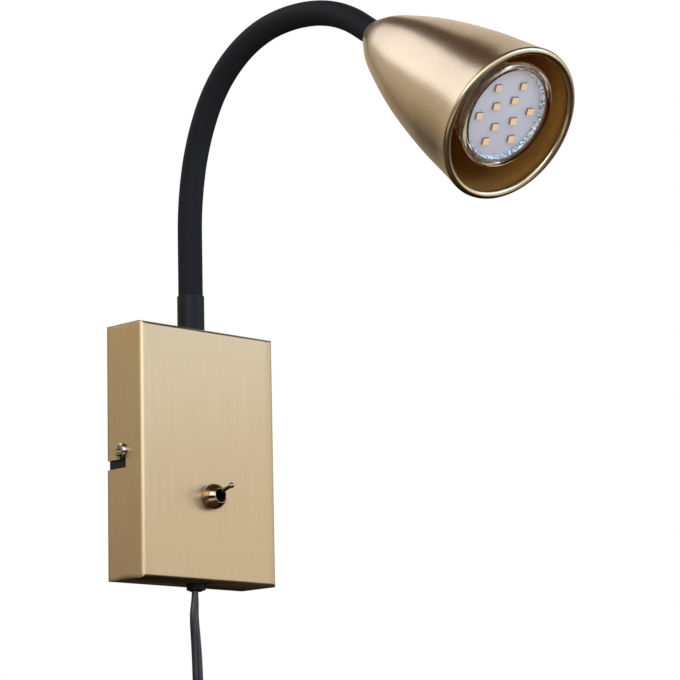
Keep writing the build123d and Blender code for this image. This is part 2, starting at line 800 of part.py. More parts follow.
wire_reach = (nipple_bore_d - wire_d) / 2 - slide_fit
wire_rise = bulb_rise / 2
wire_side = sqrt(wire_reach**2 - wire_rise**2)
with BuildPart() as holder_wires:
    with BuildSketch(lamp_plane(holder_front + holder_pocket_deep)):
        with Locations((wire_side, wire_rise), (-wire_side, wire_rise)):
            Circle(wire_d / 2)
    extrude(amount=holder_front + holder_pocket_deep - shade_len - spigot_len)
save(holder_wires.part, "holder_wires")

# Gland in the underside, with its nut inside the box
gland_tip_z = -top_z - gland_flange_h - gland_nose_h
with BuildPart() as cord_gland:
    with BuildSketch(Plane(origin=(0, gland_y, -top_z), x_dir=(0, 0, 1), z_dir=(1, 0, 0))):
        with BuildLine():
            Polyline(
                (gland_thread_h, gland_bore_d / 2), (gland_thread_h, gland_thread_d / 2),
                (0, gland_thread_d / 2), (0, gland_flange_d / 2),
                (-gland_flange_h, gland_flange_d / 2), (-gland_flange_h, gland_nose_d / 2),
                (gland_tip_z + top_z, gland_tip_d / 2), (gland_tip_z + top_z, gland_bore_d / 2), close=True,
            )
        make_face()
    revolve(axis=Axis((0, gland_y, 0), (0, 0, 1)))
    flange_edges = cord_gland.edges().filter_by(GeomType.CIRCLE).group_by(SortBy.RADIUS)[-1]
    fillet(flange_edges.sort_by(Axis.Z)[0], gland_flange_h * 0.4)
save(cord_gland.part, "cord_gland")

gland_nut_plane = Plane(origin=(0, gland_y, -top_z + sheet_t))
save(
    hex_nut(gland_nut_plane, gland_nut_af, gland_nut_t, gland_thread_d + 2 * thread_fit),
    "gland_nut",
)

# Wiring inside the box
tab_y = switch_back_y + tab_len / 2
low_tab_z = switch_z - tab_spacing / 2 - tab_w / 2
high_tab_z = switch_z + tab_spacing / 2 + tab_w / 2
block_low_z = block_z - block_h / 2
block_high_z = block_z + block_h / 2
pole_x = block_pole_spacing / 2
lead_x = lead_wire_pitch / 2
gland_top_z = -top_z + gland_thread_h
live_route = (
    (-lead_x, gland_y, gland_tip_z), (-lead_x, gland_y, gland_top_z + wire_run),
    (0, tab_y, low_tab_z - wire_low_run), (0, tab_y, low_tab_z),
)
return_route = (
    (lead_x, gland_y, gland_tip_z), (lead_x, gland_y, gland_top_z + wire_run),
    (switch_body_w, gland_y, gland_top_z + wire_side_rise),
    (switch_body_w, pole_y, switch_z + switch_body_h / 2),
    (pole_x, pole_y, block_low_z - wire_block_run), (pole_x, pole_y, block_low_z + block_entry_deep),
)
switch_route = (
    (0, tab_y, high_tab_z), (0, tab_y, high_tab_z + wire_tab_run),
    (-pole_x, pole_y, block_low_z - wire_tab_run), (-pole_x, pole_y, block_low_z + block_entry_deep),
)
supply_live = tube(live_route, wire_d, "supply live wire")
supply_return = tube(return_route, wire_d, "supply return wire")
save(Compound(children=[supply_live, supply_return]), "supply_wires")
save(tube(switch_route, wire_d, "switch wire"), "switch_wire")
lamp_route = (
    (pole_x, pole_y, block_high_z - block_entry_deep), (pole_x, pole_y, block_high_z + wire_run),
    (wire_reach, arm_y, top_z - nipple_down - wire_run), (wire_reach, arm_y, ferrule_seat_z),
)
lamp_wire = tube(lamp_route, wire_d, "lamp wire")
save(Compound(children=[lamp_wire, mirror(lamp_wire, about=Plane.YZ)]), "lamp_wires")

# Lead: hangs from the gland and swings into the coil below
lead_route = (
    (-0.7, gland_y, gland_tip_z), (-0.7, gland_y, -69), (-1.3, gland_y, -76), (-0.7, gland_y, -85),
    (0.2, gland_y, -97), (0.6, gland_y, -112), (5.3, gland_y, -127.3), (14.2, gland_y, -140.6),
    (26.4, gland_y, -150.8),
)
save(tube(lead_route, cord_d, "lead"), "cord_lead")

# Coil: half turns that spiral in, climb a layer towards the wall and spiral out again
lead_end = Vector(*lead_route[-1])
entry_dir = (lead_end - Vector(*lead_route[-2])).normalized()
inward = Vector(entry_dir.Z, 0, -entry_dir.X)
layer = Vector(0, coil_layer_step, 0)
with BuildPart() as cord_coil:
    with BuildLine() as coil_line:
        run = Line(lead_end, lead_end + entry_dir * cord_d)
        coil_hub = run @ 1 + inward * coil_r
        turn_r = coil_r
        across = inward
        for half_turn in range(coil_half_turns_in):
            run = TangentArc(run @ 1, run @ 1 + across * (2 * turn_r), tangent=run % 1)
            across = across * -1
            turn_r -= coil_pitch / 2
        # the reversing half turn climbs in two tilted quarter turns
        start = run @ 1
        climb_r = sqrt(turn_r**2 + (coil_layer_step / 2) ** 2)
        middle = start + across * turn_r + layer / 2 + (run % 1) * climb_r
        run = TangentArc(start, middle, tangent=run % 1)
        run = TangentArc(middle, start + across * (2 * turn_r) + layer, tangent=run % 1)
        across = across * -1
        for half_turn in range(coil_half_turns_out):
            turn_r += coil_pitch / 2
            run = TangentArc(run @ 1, run @ 1 + across * (2 * turn_r), tangent=run % 1)
            across = across * -1
        # the last part turn brings the end straight down
        turn_r += coil_pitch / 2
        coil_side = run @ 1 + across * turn_r + Vector(turn_r, 0, 0)
        run = TangentArc(run @ 1, coil_side, tangent=run % 1)
        tail_end = coil_side - Vector(0, 0, tail_len)
        run = Line(coil_side, tail_end)
    with BuildSketch(Plane(origin=lead_end, z_dir=entry_dir)):
        Circle(cord_d / 2)
    sweep()
save(cord_coil.part, "cord_coil")

coil_edges = coil_line.edges()
coil_len = sum(edge.length for edge in coil_edges)
report_tube("coil and tail", cord_coil.part, coil_len, cord_d)
coil_points = []
coil_along = []
passed = 0.0
for edge in coil_edges:
    steps = max(4, round(edge.length / 3))
    coil_points += [edge @ (step / steps) for step in range(steps)]
    coil_along += [passed + edge.length * step / steps for step in range(steps)]
    passed += edge.length
self_gap = min(
    (coil_points[a] - coil_points[b]).length - cord_d
    for a in range(len(coil_points))
    for b in range(a)
    if coil_along[a] - coil_along[b] > 4 * cord_d
)
print(f"coil: least gap to itself {self_gap:.2f}")

# Tie around the bundle of turns
bundle_out = coil_r - coil_pitch / 2 + cord_d / 2 + tie_fit
bundle_in_r = coil_r - coil_pitch / 2 * (coil_half_turns_in - 1)
bundle_in = sqrt(bundle_in_r**2 - ((tie_w + coil_pitch) / 2) ** 2) - cord_d / 2 - tie_fit
tie_wide = bundle_out - bundle_in
tie_deep = coil_layer_step + cord_d + 2 * tie_fit
tie_at = coil_hub - entry_dir * ((bundle_out + bundle_in) / 2) + layer / 2
with BuildPart() as cord_tie:
    with BuildSketch(Plane(origin=tie_at, x_dir=entry_dir, z_dir=inward)):
        RectangleRounded(tie_wide + 2 * tie_t, tie_deep + 2 * tie_t, tie_round + tie_t)
        RectangleRounded(tie_wide, tie_deep, tie_round, mode=Mode.SUBTRACT)
    extrude(amount=tie_w / 2, both=True)
save(cord_tie.part, "cord_tie")

# Plug: moulded two-pin body with a tapered relief, on the end of the lead
relief_plane = Plane(origin=tail_end, x_dir=(1, 0, 0), z_dir=(0, 0, -1))
grip_plane = relief_plane.offset(plug_relief_h)
body_plane = grip_plane.offset(plug_taper_h)
base_plane = grip_plane.offset(plug_h)
with BuildPart() as plug_body:
    with BuildSketch(relief_plane):
        Circle(plug_relief_top_d / 2)
    with BuildSketch(grip_plane):
        Circle(plug_relief_d / 2)
    loft()
    with BuildSketch(grip_plane):
        RectangleRounded(plug_top_w, plug_top_t, plug_corner_r)
    with BuildSketch(body_plane):
        RectangleRounded(plug_w, plug_t, plug_corner_r)
    loft()
    with BuildSketch(body_plane):
        RectangleRounded(plug_w, plug_t, plug_corner_r)
    extrude(amount=plug_h - plug_taper_h)
    fillet(plug_body.faces().sort_by(Axis.Z)[0].edges(), plug_base_r)
save(plug_body.part, "plug_body")

with BuildPart() as plug_pins:
    with BuildSketch(base_plane):
        with GridLocations(plug_pin_spacing, 0, 2, 1):
            Circle(plug_pin_d / 2)
    extrude(amount=plug_pin_len)
    fillet(plug_pins.faces().sort_by(Axis.Z)[:2].edges(), plug_pin_d * 0.3)
save(plug_pins.part, "plug_pins")
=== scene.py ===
import json
from math import acos, asin, cos, pi, radians, sin, sqrt

import bmesh
import bpy
from mathutils import Matrix, Vector


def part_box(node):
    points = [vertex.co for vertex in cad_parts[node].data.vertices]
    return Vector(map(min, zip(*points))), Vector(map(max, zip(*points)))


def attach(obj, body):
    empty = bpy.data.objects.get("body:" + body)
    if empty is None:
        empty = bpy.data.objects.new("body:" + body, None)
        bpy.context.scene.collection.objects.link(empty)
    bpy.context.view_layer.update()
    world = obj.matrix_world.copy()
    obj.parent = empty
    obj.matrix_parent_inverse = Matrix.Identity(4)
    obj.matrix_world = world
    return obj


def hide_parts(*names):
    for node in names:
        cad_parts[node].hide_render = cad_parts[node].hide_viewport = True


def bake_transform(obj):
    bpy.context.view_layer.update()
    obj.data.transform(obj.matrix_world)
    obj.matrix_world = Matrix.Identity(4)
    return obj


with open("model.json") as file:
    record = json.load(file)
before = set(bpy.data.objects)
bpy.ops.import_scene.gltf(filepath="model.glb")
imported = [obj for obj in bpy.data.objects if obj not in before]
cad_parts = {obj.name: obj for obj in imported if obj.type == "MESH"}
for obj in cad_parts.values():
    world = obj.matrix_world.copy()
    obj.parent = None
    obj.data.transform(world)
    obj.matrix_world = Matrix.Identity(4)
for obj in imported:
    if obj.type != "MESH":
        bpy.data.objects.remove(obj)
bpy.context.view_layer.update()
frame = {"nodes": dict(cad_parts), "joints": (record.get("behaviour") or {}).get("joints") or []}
nodes = frame["nodes"]
joints = {joint["name"]: joint for joint in frame["joints"]}
coverLow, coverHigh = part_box("cover")
mm = 0.001
print("frame loaded:", len(nodes), "nodes")


# colours, nodes and materials

def hexLinear(code):
    parts = [int(code[i:i + 2], 16) / 255 for i in (1, 3, 5)]
    return tuple(c / 12.92 if c <= 0.04045 else ((c + 0.055) / 1.055) ** 2.4 for c in parts) + (1.0,)


def addNode(tree, kind, values=None, links=None, **settings):
    node = tree.nodes.new(kind)
    for key, value in settings.items():
        setattr(node, key, value)
    for socket, value in (values or {}).items():
        node.inputs[socket].default_value = value
    for socket, source in (links or {}).items():
        tree.links.new(source, node.inputs[socket])
    return node


grainSet = {"detail": 4.0, "fineShare": 0.6, "relief": 0.6}  # finer marks, their weight, the bump's strength


def newMaterial(name, base, metallic, roughness, grain, dark, light, rough, stretch=0.4, bump=0, **sockets):
    # grain is the mark's size in mm, across and along the piece's z; colour, gloss and height follow it
    material = bpy.data.materials.new(name)
    material.use_nodes = True
    material.diffuse_color = hexLinear(base)
    tree = material.node_tree
    shader = tree.nodes["Principled BSDF"]
    shader.inputs["Base Color"].default_value = hexLinear(base)
    shader.inputs["Metallic"].default_value = metallic
    shader.inputs["Roughness"].default_value = roughness
    for socket, value in sockets.items():
        shader.inputs[socket.replace("_", " ")].default_value = value
    place = addNode(tree, "ShaderNodeTexCoord")
    across, along = (1 / (size * mm) for size in grain)
    scaled = addNode(tree, "ShaderNodeMapping", {"Scale": (across, across, along)},
                     {"Vector": place.outputs["Object"]})
    marks = addNode(tree, "ShaderNodeTexNoise",
                    {"Scale": 1.0, "Detail": grainSet["detail"], "Roughness": grainSet["fineShare"]},
                    {"Vector": scaled.outputs["Vector"]})
    tint = addNode(tree, "ShaderNodeValToRGB", links={"Fac": marks.outputs["Fac"]})
    for element, side, code in zip(tint.color_ramp.elements, (-1, 1), (dark, light)):
        element.position = 0.5 + side * stretch
        element.color = hexLinear(code)
    tree.links.new(tint.outputs["Color"], shader.inputs["Base Color"])
    gloss = addNode(tree, "ShaderNodeMapRange", {"To Min": rough[0], "To Max": rough[1]},
                    {"Value": marks.outputs["Fac"]})
    tree.links.new(gloss.outputs["Result"], shader.inputs["Roughness"])
    if bump:
        relief = addNode(tree, "ShaderNodeBump", {"Strength": grainSet["relief"], "Distance": bump * mm},
                         {"Height": marks.outputs["Fac"]})
        tree.links.new(relief.outputs["Normal"], shader.inputs["Normal"])
    return material


# brass-plated steel sheet, brushed upright: long fine streaks, soft reflections drawn out sideways
brushedBrass = newMaterial(
    "BrassPlatedSteelBrushed", "#C8AF84", 1.0, 0.38, Anisotropic=0.75, Coat_Weight=0.4, Coat_Roughness=0.25,
    grain=(0.5, 45),  # real streaks are about 0.2 mm, drawn coarser to show
    dark="#BDA378", light="#D2BB92", rough=(0.37, 0.47), bump=0.004)
brassTree = brushedBrass.node_tree
brassShader = brassTree.nodes["Principled BSDF"]
acrossBrush = addNode(brassTree, "ShaderNodeTangent", direction_type="RADIAL", axis="Z")
brassTree.links.new(acrossBrush.outputs["Tangent"], brassShader.inputs["Tangent"])

# the sheet falls away a little towards its folds, unevenly at the top and bottom
foldSet = {"reachSide": 7.0, "reachEnd": 2.2, "fall": 0.85, "endShare": 0.5, "curve": 2.0, "waver": 1.3,
           "wave": 17.0}
facePlace = addNode(brassTree, "ShaderNodeTexCoord")
faceSplit = addNode(brassTree, "ShaderNodeSeparateXYZ", links={"Vector": facePlace.outputs["Object"]})
foldWave = addNode(brassTree, "ShaderNodeTexNoise", {"Scale": 1 / (foldSet["wave"] * mm), "Detail": 1.0},
                   {"Vector": facePlace.outputs["Object"]})
foldShift = addNode(brassTree, "ShaderNodeMapRange",
                    {"To Min": -foldSet["waver"] * mm, "To Max": foldSet["waver"] * mm},
                    {"Value": foldWave.outputs["Fac"]})
sideways = addNode(brassTree, "ShaderNodeMath", links={0: faceSplit.outputs["X"]}, operation="ABSOLUTE")
endways = addNode(brassTree, "ShaderNodeMath", links={0: faceSplit.outputs["Z"]}, operation="ABSOLUTE")
wavyEnd = addNode(brassTree, "ShaderNodeMath", links={0: endways.outputs[0], 1: foldShift.outputs["Result"]},
                  operation="ADD")
foldFalls = []
for away, edge, reach, share in ((sideways, coverHigh.x, foldSet["reachSide"], 1.0),
                                 (wavyEnd, coverHigh.z, foldSet["reachEnd"], foldSet["endShare"])):
    near = addNode(brassTree, "ShaderNodeMapRange",
                   {"From Min": edge - reach * mm, "From Max": edge, "To Max": share},
                   {"Value": away.outputs[0]})
    curve = addNode(brassTree, "ShaderNodeMath", {1: foldSet["curve"]}, {0: near.outputs["Result"]},
                    operation="POWER")
    foldFalls.append(curve.outputs[0])
foldSum = addNode(brassTree, "ShaderNodeMath", links={0: foldFalls[0], 1: foldFalls[1]}, operation="ADD")
foldDrop = addNode(brassTree, "ShaderNodeMath", {1: -1.0}, {0: foldSum.outputs[0]}, operation="MULTIPLY")
foldBump = addNode(brassTree, "ShaderNodeBump", {"Strength": 1.0, "Distance": foldSet["fall"] * mm},
                   {"Height": foldDrop.outputs[0], "Normal": brassTree.nodes["Bump"].outputs["Normal"]})
brassTree.links.new(foldBump.outputs["Normal"], brassShader.inputs["Normal"])

# painted shade: the upright faces darken towards their top and bottom, their back and their right edge, and
# the right side darkens all over
edgeShadeSet = {"end": 0.9, "back": 1.1, "right": 0.9, "weight": 0.75, "steepest": 0.6, "colour": "#5A4228"}
edgeShades = []
for source, edge, reach in ((faceSplit.outputs["Y"], coverHigh.y, edgeShadeSet["back"]),
                            (faceSplit.outputs["X"], coverHigh.x, edgeShadeSet["right"]),
                            (wavyEnd.outputs[0], coverHigh.z, edgeShadeSet["end"])):
    nearEdge = addNode(brassTree, "ShaderNodeMapRange", {"From Min": edge - reach * mm, "From Max": edge},
                       {"Value": source})
    edgeShades.append(nearEdge.outputs["Result"])
sideEdgeShade = addNode(brassTree, "ShaderNodeMath", links={0: edgeShades[0], 1: edgeShades[1]}, operation="MAXIMUM")
anyEdgeShade = addNode(brassTree, "ShaderNodeMath", links={0: sideEdgeShade.outputs[0], 1: edgeShades[2]},
                   operation="MAXIMUM")
facing = addNode(brassTree, "ShaderNodeNewGeometry")
facingSplit = addNode(brassTree, "ShaderNodeSeparateXYZ", links={"Vector": facing.outputs["True Normal"]})
tilt = addNode(brassTree, "ShaderNodeMath", links={0: facingSplit.outputs["Z"]}, operation="ABSOLUTE")
upright = addNode(brassTree, "ShaderNodeMath", {1: edgeShadeSet["steepest"]}, {0: tilt.outputs[0]},
                  operation="LESS_THAN")
weighed = addNode(brassTree, "ShaderNodeMath", {1: edgeShadeSet["weight"]}, {0: upright.outputs[0]},
                  operation="MULTIPLY")
edgeShade = addNode(brassTree, "ShaderNodeMath", links={0: anyEdgeShade.outputs[0], 1: weighed.outputs[0]},
                operation="MULTIPLY")
# mixes the painted shade into the brushed colour
edgeShaded = addNode(brassTree, "ShaderNodeMixRGB", {"Color2": hexLinear(edgeShadeSet["colour"])},
                  {"Fac": edgeShade.outputs[0], "Color1": brassTree.nodes["Color Ramp"].outputs["Color"]})
brassTree.links.new(edgeShaded.outputs["Color"], brassShader.inputs["Base Color"])

# gold anodised aluminium, spun and satin polished: soft broad highlight, faint streaks along the bell
satinGold = newMaterial(
    "AluminiumGoldAnodisedSatin", "#D8C7AD", 1.0, 0.3,
    grain=(0.8, 60), stretch=0.35,  # streaks drawn coarser than the real 0.1 mm
    dark="#D2BFA2", light="#DECFB7", rough=(0.26, 0.3))

# the same aluminium buffed at the rolled lip: bright, soft edge lines
polishedGold = newMaterial(
    "AluminiumGoldAnodisedPolished", "#D4BD92", 1.0, 0.24,
    grain=(2, 2), dark="#CEB586", light="#DAC59E", rough=(0.27, 0.33))

# gold lacquer inside the bell: deep, a little glossy, darker than outside
innerGold = newMaterial(
    "AluminiumGoldLacqueredInside", "#D8A452", 0.75, 0.34,
    grain=(6, 3), dark="#D19A48", light="#DFAE5E", rough=(0.3, 0.4), bump=0.002)

# silicone rubber sleeve, extruded: matt black with a faint bloom at the edges
siliconeBlack = newMaterial(
    "SiliconeRubberExtruded", "#151518", 0.0, 0.66, IOR=1.41, Specular_IOR_Level=0.28,
    grain=(0.5, 1.2), dark="#121215", light="#19191C", rough=(0.6, 0.74), bump=0.01)

# glass-filled nylon, moulded with a fine spark-eroded skin: near black and dull
nylonBlack = newMaterial(
    "NylonMoulded", "#0D0D0F", 0.0, 0.5, IOR=1.53, Specular_IOR_Level=0.25,
    grain=(0.4, 0.4), dark="#0A0A0C", light="#111113", rough=(0.46, 0.6), bump=0.012)

# steel sheet, powder coated black: orange-peel skin
blackSteel = newMaterial(
    "SteelPowderCoated", "#0B0A0B", 0.0, 0.55, IOR=1.5,
    grain=(0.9, 0.9), dark="#090809", light="#0F0E0F", rough=(0.5, 0.62), bump=0.03)

# chromed steel screws: bright, slightly worn in the recess
chromeSteel = newMaterial(
    "SteelChromed", "#B9B1A7", 1.0, 0.16,
    grain=(0.6, 0.6), stretch=0.45, dark="#A49C92", light="#C9C1B7", rough=(0.1, 0.2))

# bronzed brass nut, turned and polished: warm dark mirror with faint rings
bronzedBrass = newMaterial(
    "BrassBronzedPolished", "#B29A7E", 1.0, 0.1,
    grain=(5, 0.35), dark="#AA9174", light="#BAA38A", rough=(0.08, 0.13), bump=0.001)

# black-nickel plated steel lever, polished: dark, with a fine highlight along its top
nickelSteel = newMaterial(
    "SteelBlackNickelPolished", "#5E5046", 1.0, 0.08,
    grain=(2, 0.5), dark="#54473E", light="#685A4F", rough=(0.06, 0.1))

# switch bushing, black oxide on steel: dark and faintly oily
oxideSteel = newMaterial(
    "SteelBlackOxide", "#16130F", 0.0, 0.4, IOR=1.5, Specular_IOR_Level=0.3,
    grain=(1, 1), dark="#110E0B", light="#1C1814", rough=(0.34, 0.48), bump=0.004)

# turned brass threads and terminals: warm yellow with fine tool rings
turnedBrass = newMaterial(
    "BrassTurned", "#C9A35C", 1.0, 0.32,
    grain=(3, 0.4), dark="#B58E48", light="#D3AF6B", rough=(0.26, 0.4), bump=0.01)

# zinc-plated steel hardware: grey, faintly blotched
zincSteel = newMaterial(
    "SteelZincPlated", "#A9ABAE", 1.0, 0.38,
    grain=(2.5, 2.5), stretch=0.35, dark="#989A9E", light="#B7B9BC", rough=(0.3, 0.46))

# steatite lampholder, glazed: off-white with small specks
steatite = newMaterial(
    "SteatiteGlazed", "#E4DED0", 0.0, 0.3, IOR=1.58,
    grain=(1.2, 1.2), stretch=0.35, dark="#DAD2C2", light="#EBE6DA", rough=(0.22, 0.4), bump=0.01)

# cream polyamide terminal block, moulded: pale, softly shiny
creamPlastic = newMaterial(
    "PolyamideCreamMoulded", "#DCD5C4", 0.0, 0.45, IOR=1.53,
    grain=(0.8, 0.8), dark="#D3CBB8", light="#E3DDCE", rough=(0.38, 0.52), bump=0.01)

# white bulb base, moulded polybutylene: clean, with a smooth sheen
whitePlastic = newMaterial(
    "PolybutyleneWhiteMoulded", "#E6E5E2", 0.0, 0.35, IOR=1.55,
    grain=(1, 1), dark="#DEDDD9", light="#ECEBE9", rough=(0.3, 0.42), bump=0.006)

# PVC lead and plug, extruded and moulded: dark, with a soft gloss
pvcBlack = newMaterial(
    "PvcBlackExtruded", "#232325", 0.0, 0.24, IOR=1.53,
    grain=(1.5, 4), dark="#202022", light="#272729", rough=(0.18, 0.3), bump=0.01)

# PVC on the single wires, extruded: dark brown, slightly shiny
pvcWire = newMaterial(
    "PvcWireExtruded", "#3A332F", 0.0, 0.45, IOR=1.53,
    grain=(1, 3), dark="#332D29", light="#443C37", rough=(0.4, 0.52))

# steel gooseneck under the sleeve, wound: grey with close ridges
woundSteel = newMaterial(
    "SteelWound", "#77787A", 1.0, 0.4,
    grain=(4, 1.4), stretch=0.3, dark="#626366", light="#8A8B8D", rough=(0.32, 0.5), bump=0.05)

# moulded soda-lime glass, thick at the rim, bright at the edges; its warm tint is a painted reflection of
# the gold shade round it
rimGlassWarmReflection = newMaterial(
    "SodaGlassMouldedWarmReflection", "#EEE4D0", 0.0, 0.05, IOR=1.52, Transmission_Weight=1.0,
    grain=(4, 4), dark="#E8DCC6", light="#F3EBDA", rough=(0.03, 0.08), bump=0.003)

# clear pane over the board: thin, so a see-through coat with its own gloss
paneGlass = newMaterial(
    "SodaGlassPane", "#E9EEF2", 0.0, 0.04, IOR=1.52, Alpha=0.06,
    grain=(8, 8), dark="#E3E9EE", light="#F0F4F7", rough=(0.03, 0.06))

# pressed glass prisms round the board, cold tinted, with painted glints and reflections: the colour mottles
# from dark teal to near white
prismGlassGlints = newMaterial(
    "SodaGlassPressedPaintedGlints", "#E6F2F8", 0.0, 0.08, IOR=1.52,
    grain=(1.1, 1.1), stretch=0.12, dark="#2A5468", light="#F0FAFF", rough=(0.04, 0.12), bump=0.05)

# white solder mask on the round board: pale, faintly cool
solderMask = newMaterial(
    "SolderMaskPrinted", "#C3C0C4", 0.0, 0.42, IOR=1.55,
    grain=(3, 3), stretch=0.35, dark="#BDBABE", light="#C9C6CA", rough=(0.36, 0.5), bump=0.004)

# chip package of moulded resin and its cast phosphor fill: amber squares; the package sides are coloured
# dark brown as painted shade
chipResinShade = newMaterial(
    "PolyphthalamidePaintedShade", "#3C2E22", 0.0, 0.4, IOR=1.6,
    grain=(0.5, 0.5), dark="#33271C", light="#463629", rough=(0.34, 0.46))
chipPhosphor = newMaterial(
    "SiliconePhosphorCast", "#F6C98A", 0.0, 0.35, IOR=1.43,
    grain=(0.4, 0.4), dark="#F4BC74", light="#F9D6A2", rough=(0.28, 0.4), bump=0.01)
print("materials made:", len(bpy.data.materials))


# shapes

shapeSet = {"mergeGap": 1e-7, "cornerShare": 0.45}  # metres that join points, a side's share for a corner


def addObject(name, data):
    holder = bpy.data.objects.new(name, data)
    bpy.context.scene.collection.objects.link(holder)
    return holder


def facedOutward(mesh, merge=False):
    # turns every face outward, if asked after joining points that coincide
    work = bmesh.new()
    work.from_mesh(mesh)
    if merge:
        bmesh.ops.remove_doubles(work, verts=work.verts, dist=shapeSet["mergeGap"])
    bmesh.ops.recalc_face_normals(work, faces=work.faces)
    work.to_mesh(mesh)
    work.free()


def addMesh(name, points, faces, materials, faceMaterials=None, place=None, sharpAt=40):
    mesh = bpy.data.meshes.new(name)
    mesh.from_pydata(points, [], faces)
    for material in materials:
        mesh.materials.append(material)
    if faceMaterials:
        mesh.polygons.foreach_set("material_index", faceMaterials)
    facedOutward(mesh)
    mesh.polygons.foreach_set("use_smooth", [True] * len(mesh.polygons))
    mesh.set_sharp_from_angle(angle=radians(sharpAt))
    piece = addObject(name, mesh)
    if place:
        piece.matrix_world = place
    return piece


def pointing(azimuth, elevation):
    # direction in degrees: azimuth from straight out of the wall towards x, elevation from level
    a, e = radians(azimuth), radians(elevation)
    return Vector((sin(a) * cos(e), -cos(a) * cos(e), sin(e)))


def framed(origin, x, y, z):
    return Matrix.Translation(Vector(origin)) @ Matrix((x, y, z)).transposed().to_4x4()


def placed(origin, zDir):
    # frame at origin with its z along zDir and its x close to the part's
    z = Vector(zDir).normalized()
    y = z.cross(Vector((1, 0, 0))).normalized()
    return framed(origin, y.cross(z), y, z)


def middleAt(low, high, height):
    # middle of a box seen from above, at the height given
    return Vector(((low.x + high.x) / 2, (low.y + high.y) / 2, height))


def softened(points, radius, steps):
    # rounds the corners of a profile, leaving its ends
    points = [Vector(p) for p in points]
    out = [points[0]]
    for before, corner, after in zip(points, points[1:], points[2:]):
        shortest = min((corner - before).length, (after - corner).length)
        reach = min(radius, shortest * shapeSet["cornerShare"])
        a = corner + (before - corner).normalized() * reach
        b = corner + (after - corner).normalized() * reach
        for i in range(steps + 1):
            t = i / steps
            out.append(a * (1 - t) ** 2 + corner * (2 * t * (1 - t)) + b * t * t)
    return out + [points[-1]]


def smoothThrough(points, steps):
    # smooth curve that passes through every point
    points = [Vector(p) for p in points]
    points = [points[0] * 2 - points[1]] + points + [points[-1] * 2 - points[-2]]
    out = []
    for a, b, c, d in zip(points, points[1:], points[2:], points[3:]):
        for i in range(steps):
            t = i / steps
            out.append((b * 2 + (c - a) * t + (a * 2 - b * 5 + c * 4 - d) * t * t
                        + (b * 3 - a - c * 3 + d) * t ** 3) / 2)
    return out + [points[-2]]


def arcPoints(middle, radius, fromTurn, toTurn, steps):
    # (height, radius) pairs along part of a ball, its turns counted from the top
    turns = [fromTurn + (toTurn - fromTurn) * i / steps for i in range(steps + 1)]
    return [(middle + radius * cos(turn), radius * sin(turn)) for turn in turns]


def roundedOutline(wide, deep, corner, steps=6):
    out = []
    for cx, cy, first in ((1, 1, 0), (-1, 1, 90), (-1, -1, 180), (1, -1, 270)):
        for i in range(steps + 1):
            turn = radians(first + 90 * i / steps)
            out.append((cx * (wide / 2 - corner) + corner * cos(turn),
                        cy * (deep / 2 - corner) + corner * sin(turn)))
    return out


def ringFaces(rings, count, first=0):
    # faces between each ring of points and the next
    faces = []
    for i in range(rings - 1):
        low, high = first + i * count, first + (i + 1) * count
        for k in range(count):
            n = (k + 1) % count
            faces.append((low + k, low + n, high + n, high + k))
    return faces


def lathe(name, profile, materials, place, segments, bands=None, closed=False, ripple=None, sharpAt=40):
    # profile: (height, radius) pairs in millimetres, turned about the place's z axis
    count = len(profile)
    points, faces, chosen = [], [], []
    for i in range(segments):
        turn = 2 * pi * i / segments
        for k, (height, radius) in enumerate(profile):
            r = (radius + ripple(k, i) if ripple else radius) * mm
            points.append((r * cos(turn), r * sin(turn), height * mm))
    for i in range(segments):
        j = (i + 1) % segments
        for k in range(count if closed else count - 1):
            n = (k + 1) % count
            faces.append((i * count + k, j * count + k, j * count + n, i * count + n))
            chosen.append(bands(k) if bands else 0)
    piece = addMesh(name, points, faces, materials, chosen, place, sharpAt)
    facedOutward(piece.data, merge=True)
    return piece


def sweepAlong(name, centres, section, widthDirs, material, capped=True):
    # section: (across, deep) pairs in millimetres; widthDirs gives each ring's across direction
    points = []
    count = len(section)
    last = len(centres) - 1
    for i, centre in enumerate(centres):
        along = (centres[min(i + 1, last)] - centres[max(i - 1, 0)]).normalized()
        across = (widthDirs[i] - along * widthDirs[i].dot(along)).normalized()
        deep = along.cross(across)
        points += [centre + across * (u * mm) + deep * (v * mm) for u, v in section]
    faces = ringFaces(len(centres), count)
    if capped:
        faces.append(tuple(range(count))[::-1])
        faces.append(tuple(range(last * count, len(points))))
    return addMesh(name, [tuple(p) for p in points], faces, [material], sharpAt=50)


# camera: the photograph's view, found from the box's corners and the shade's mouth
cameraSet = {"place": (-0.860255, -0.984026, -0.193776), "azimuth": -44.7211, "elevation": -10.9286,
             "roll": -1.2709, "focalPixels": 2714.875, "picture": 680, "sensor": 36, "near": 0.05}
backward = pointing(cameraSet["azimuth"], cameraSet["elevation"])
rightward = (-backward).cross(Vector((0, 0, 1))).normalized()
upward = rightward.cross(-backward)
roll = radians(cameraSet["roll"])
tiltRight = rightward * cos(roll) + upward * sin(roll)
tiltUp = upward * cos(roll) - rightward * sin(roll)
cameraData = bpy.data.cameras.new("photoCamera")
cameraData.sensor_width = cameraSet["sensor"]
cameraData.lens = cameraSet["focalPixels"] / cameraSet["picture"] * cameraSet["sensor"]
cameraData.clip_start = cameraSet["near"]
camera = addObject("photoCamera", cameraData)
camera.matrix_world = framed(cameraSet["place"], tiltRight, tiltUp, backward)
bpy.context.scene.camera = camera
print("camera set, lens", round(cameraData.lens, 2))


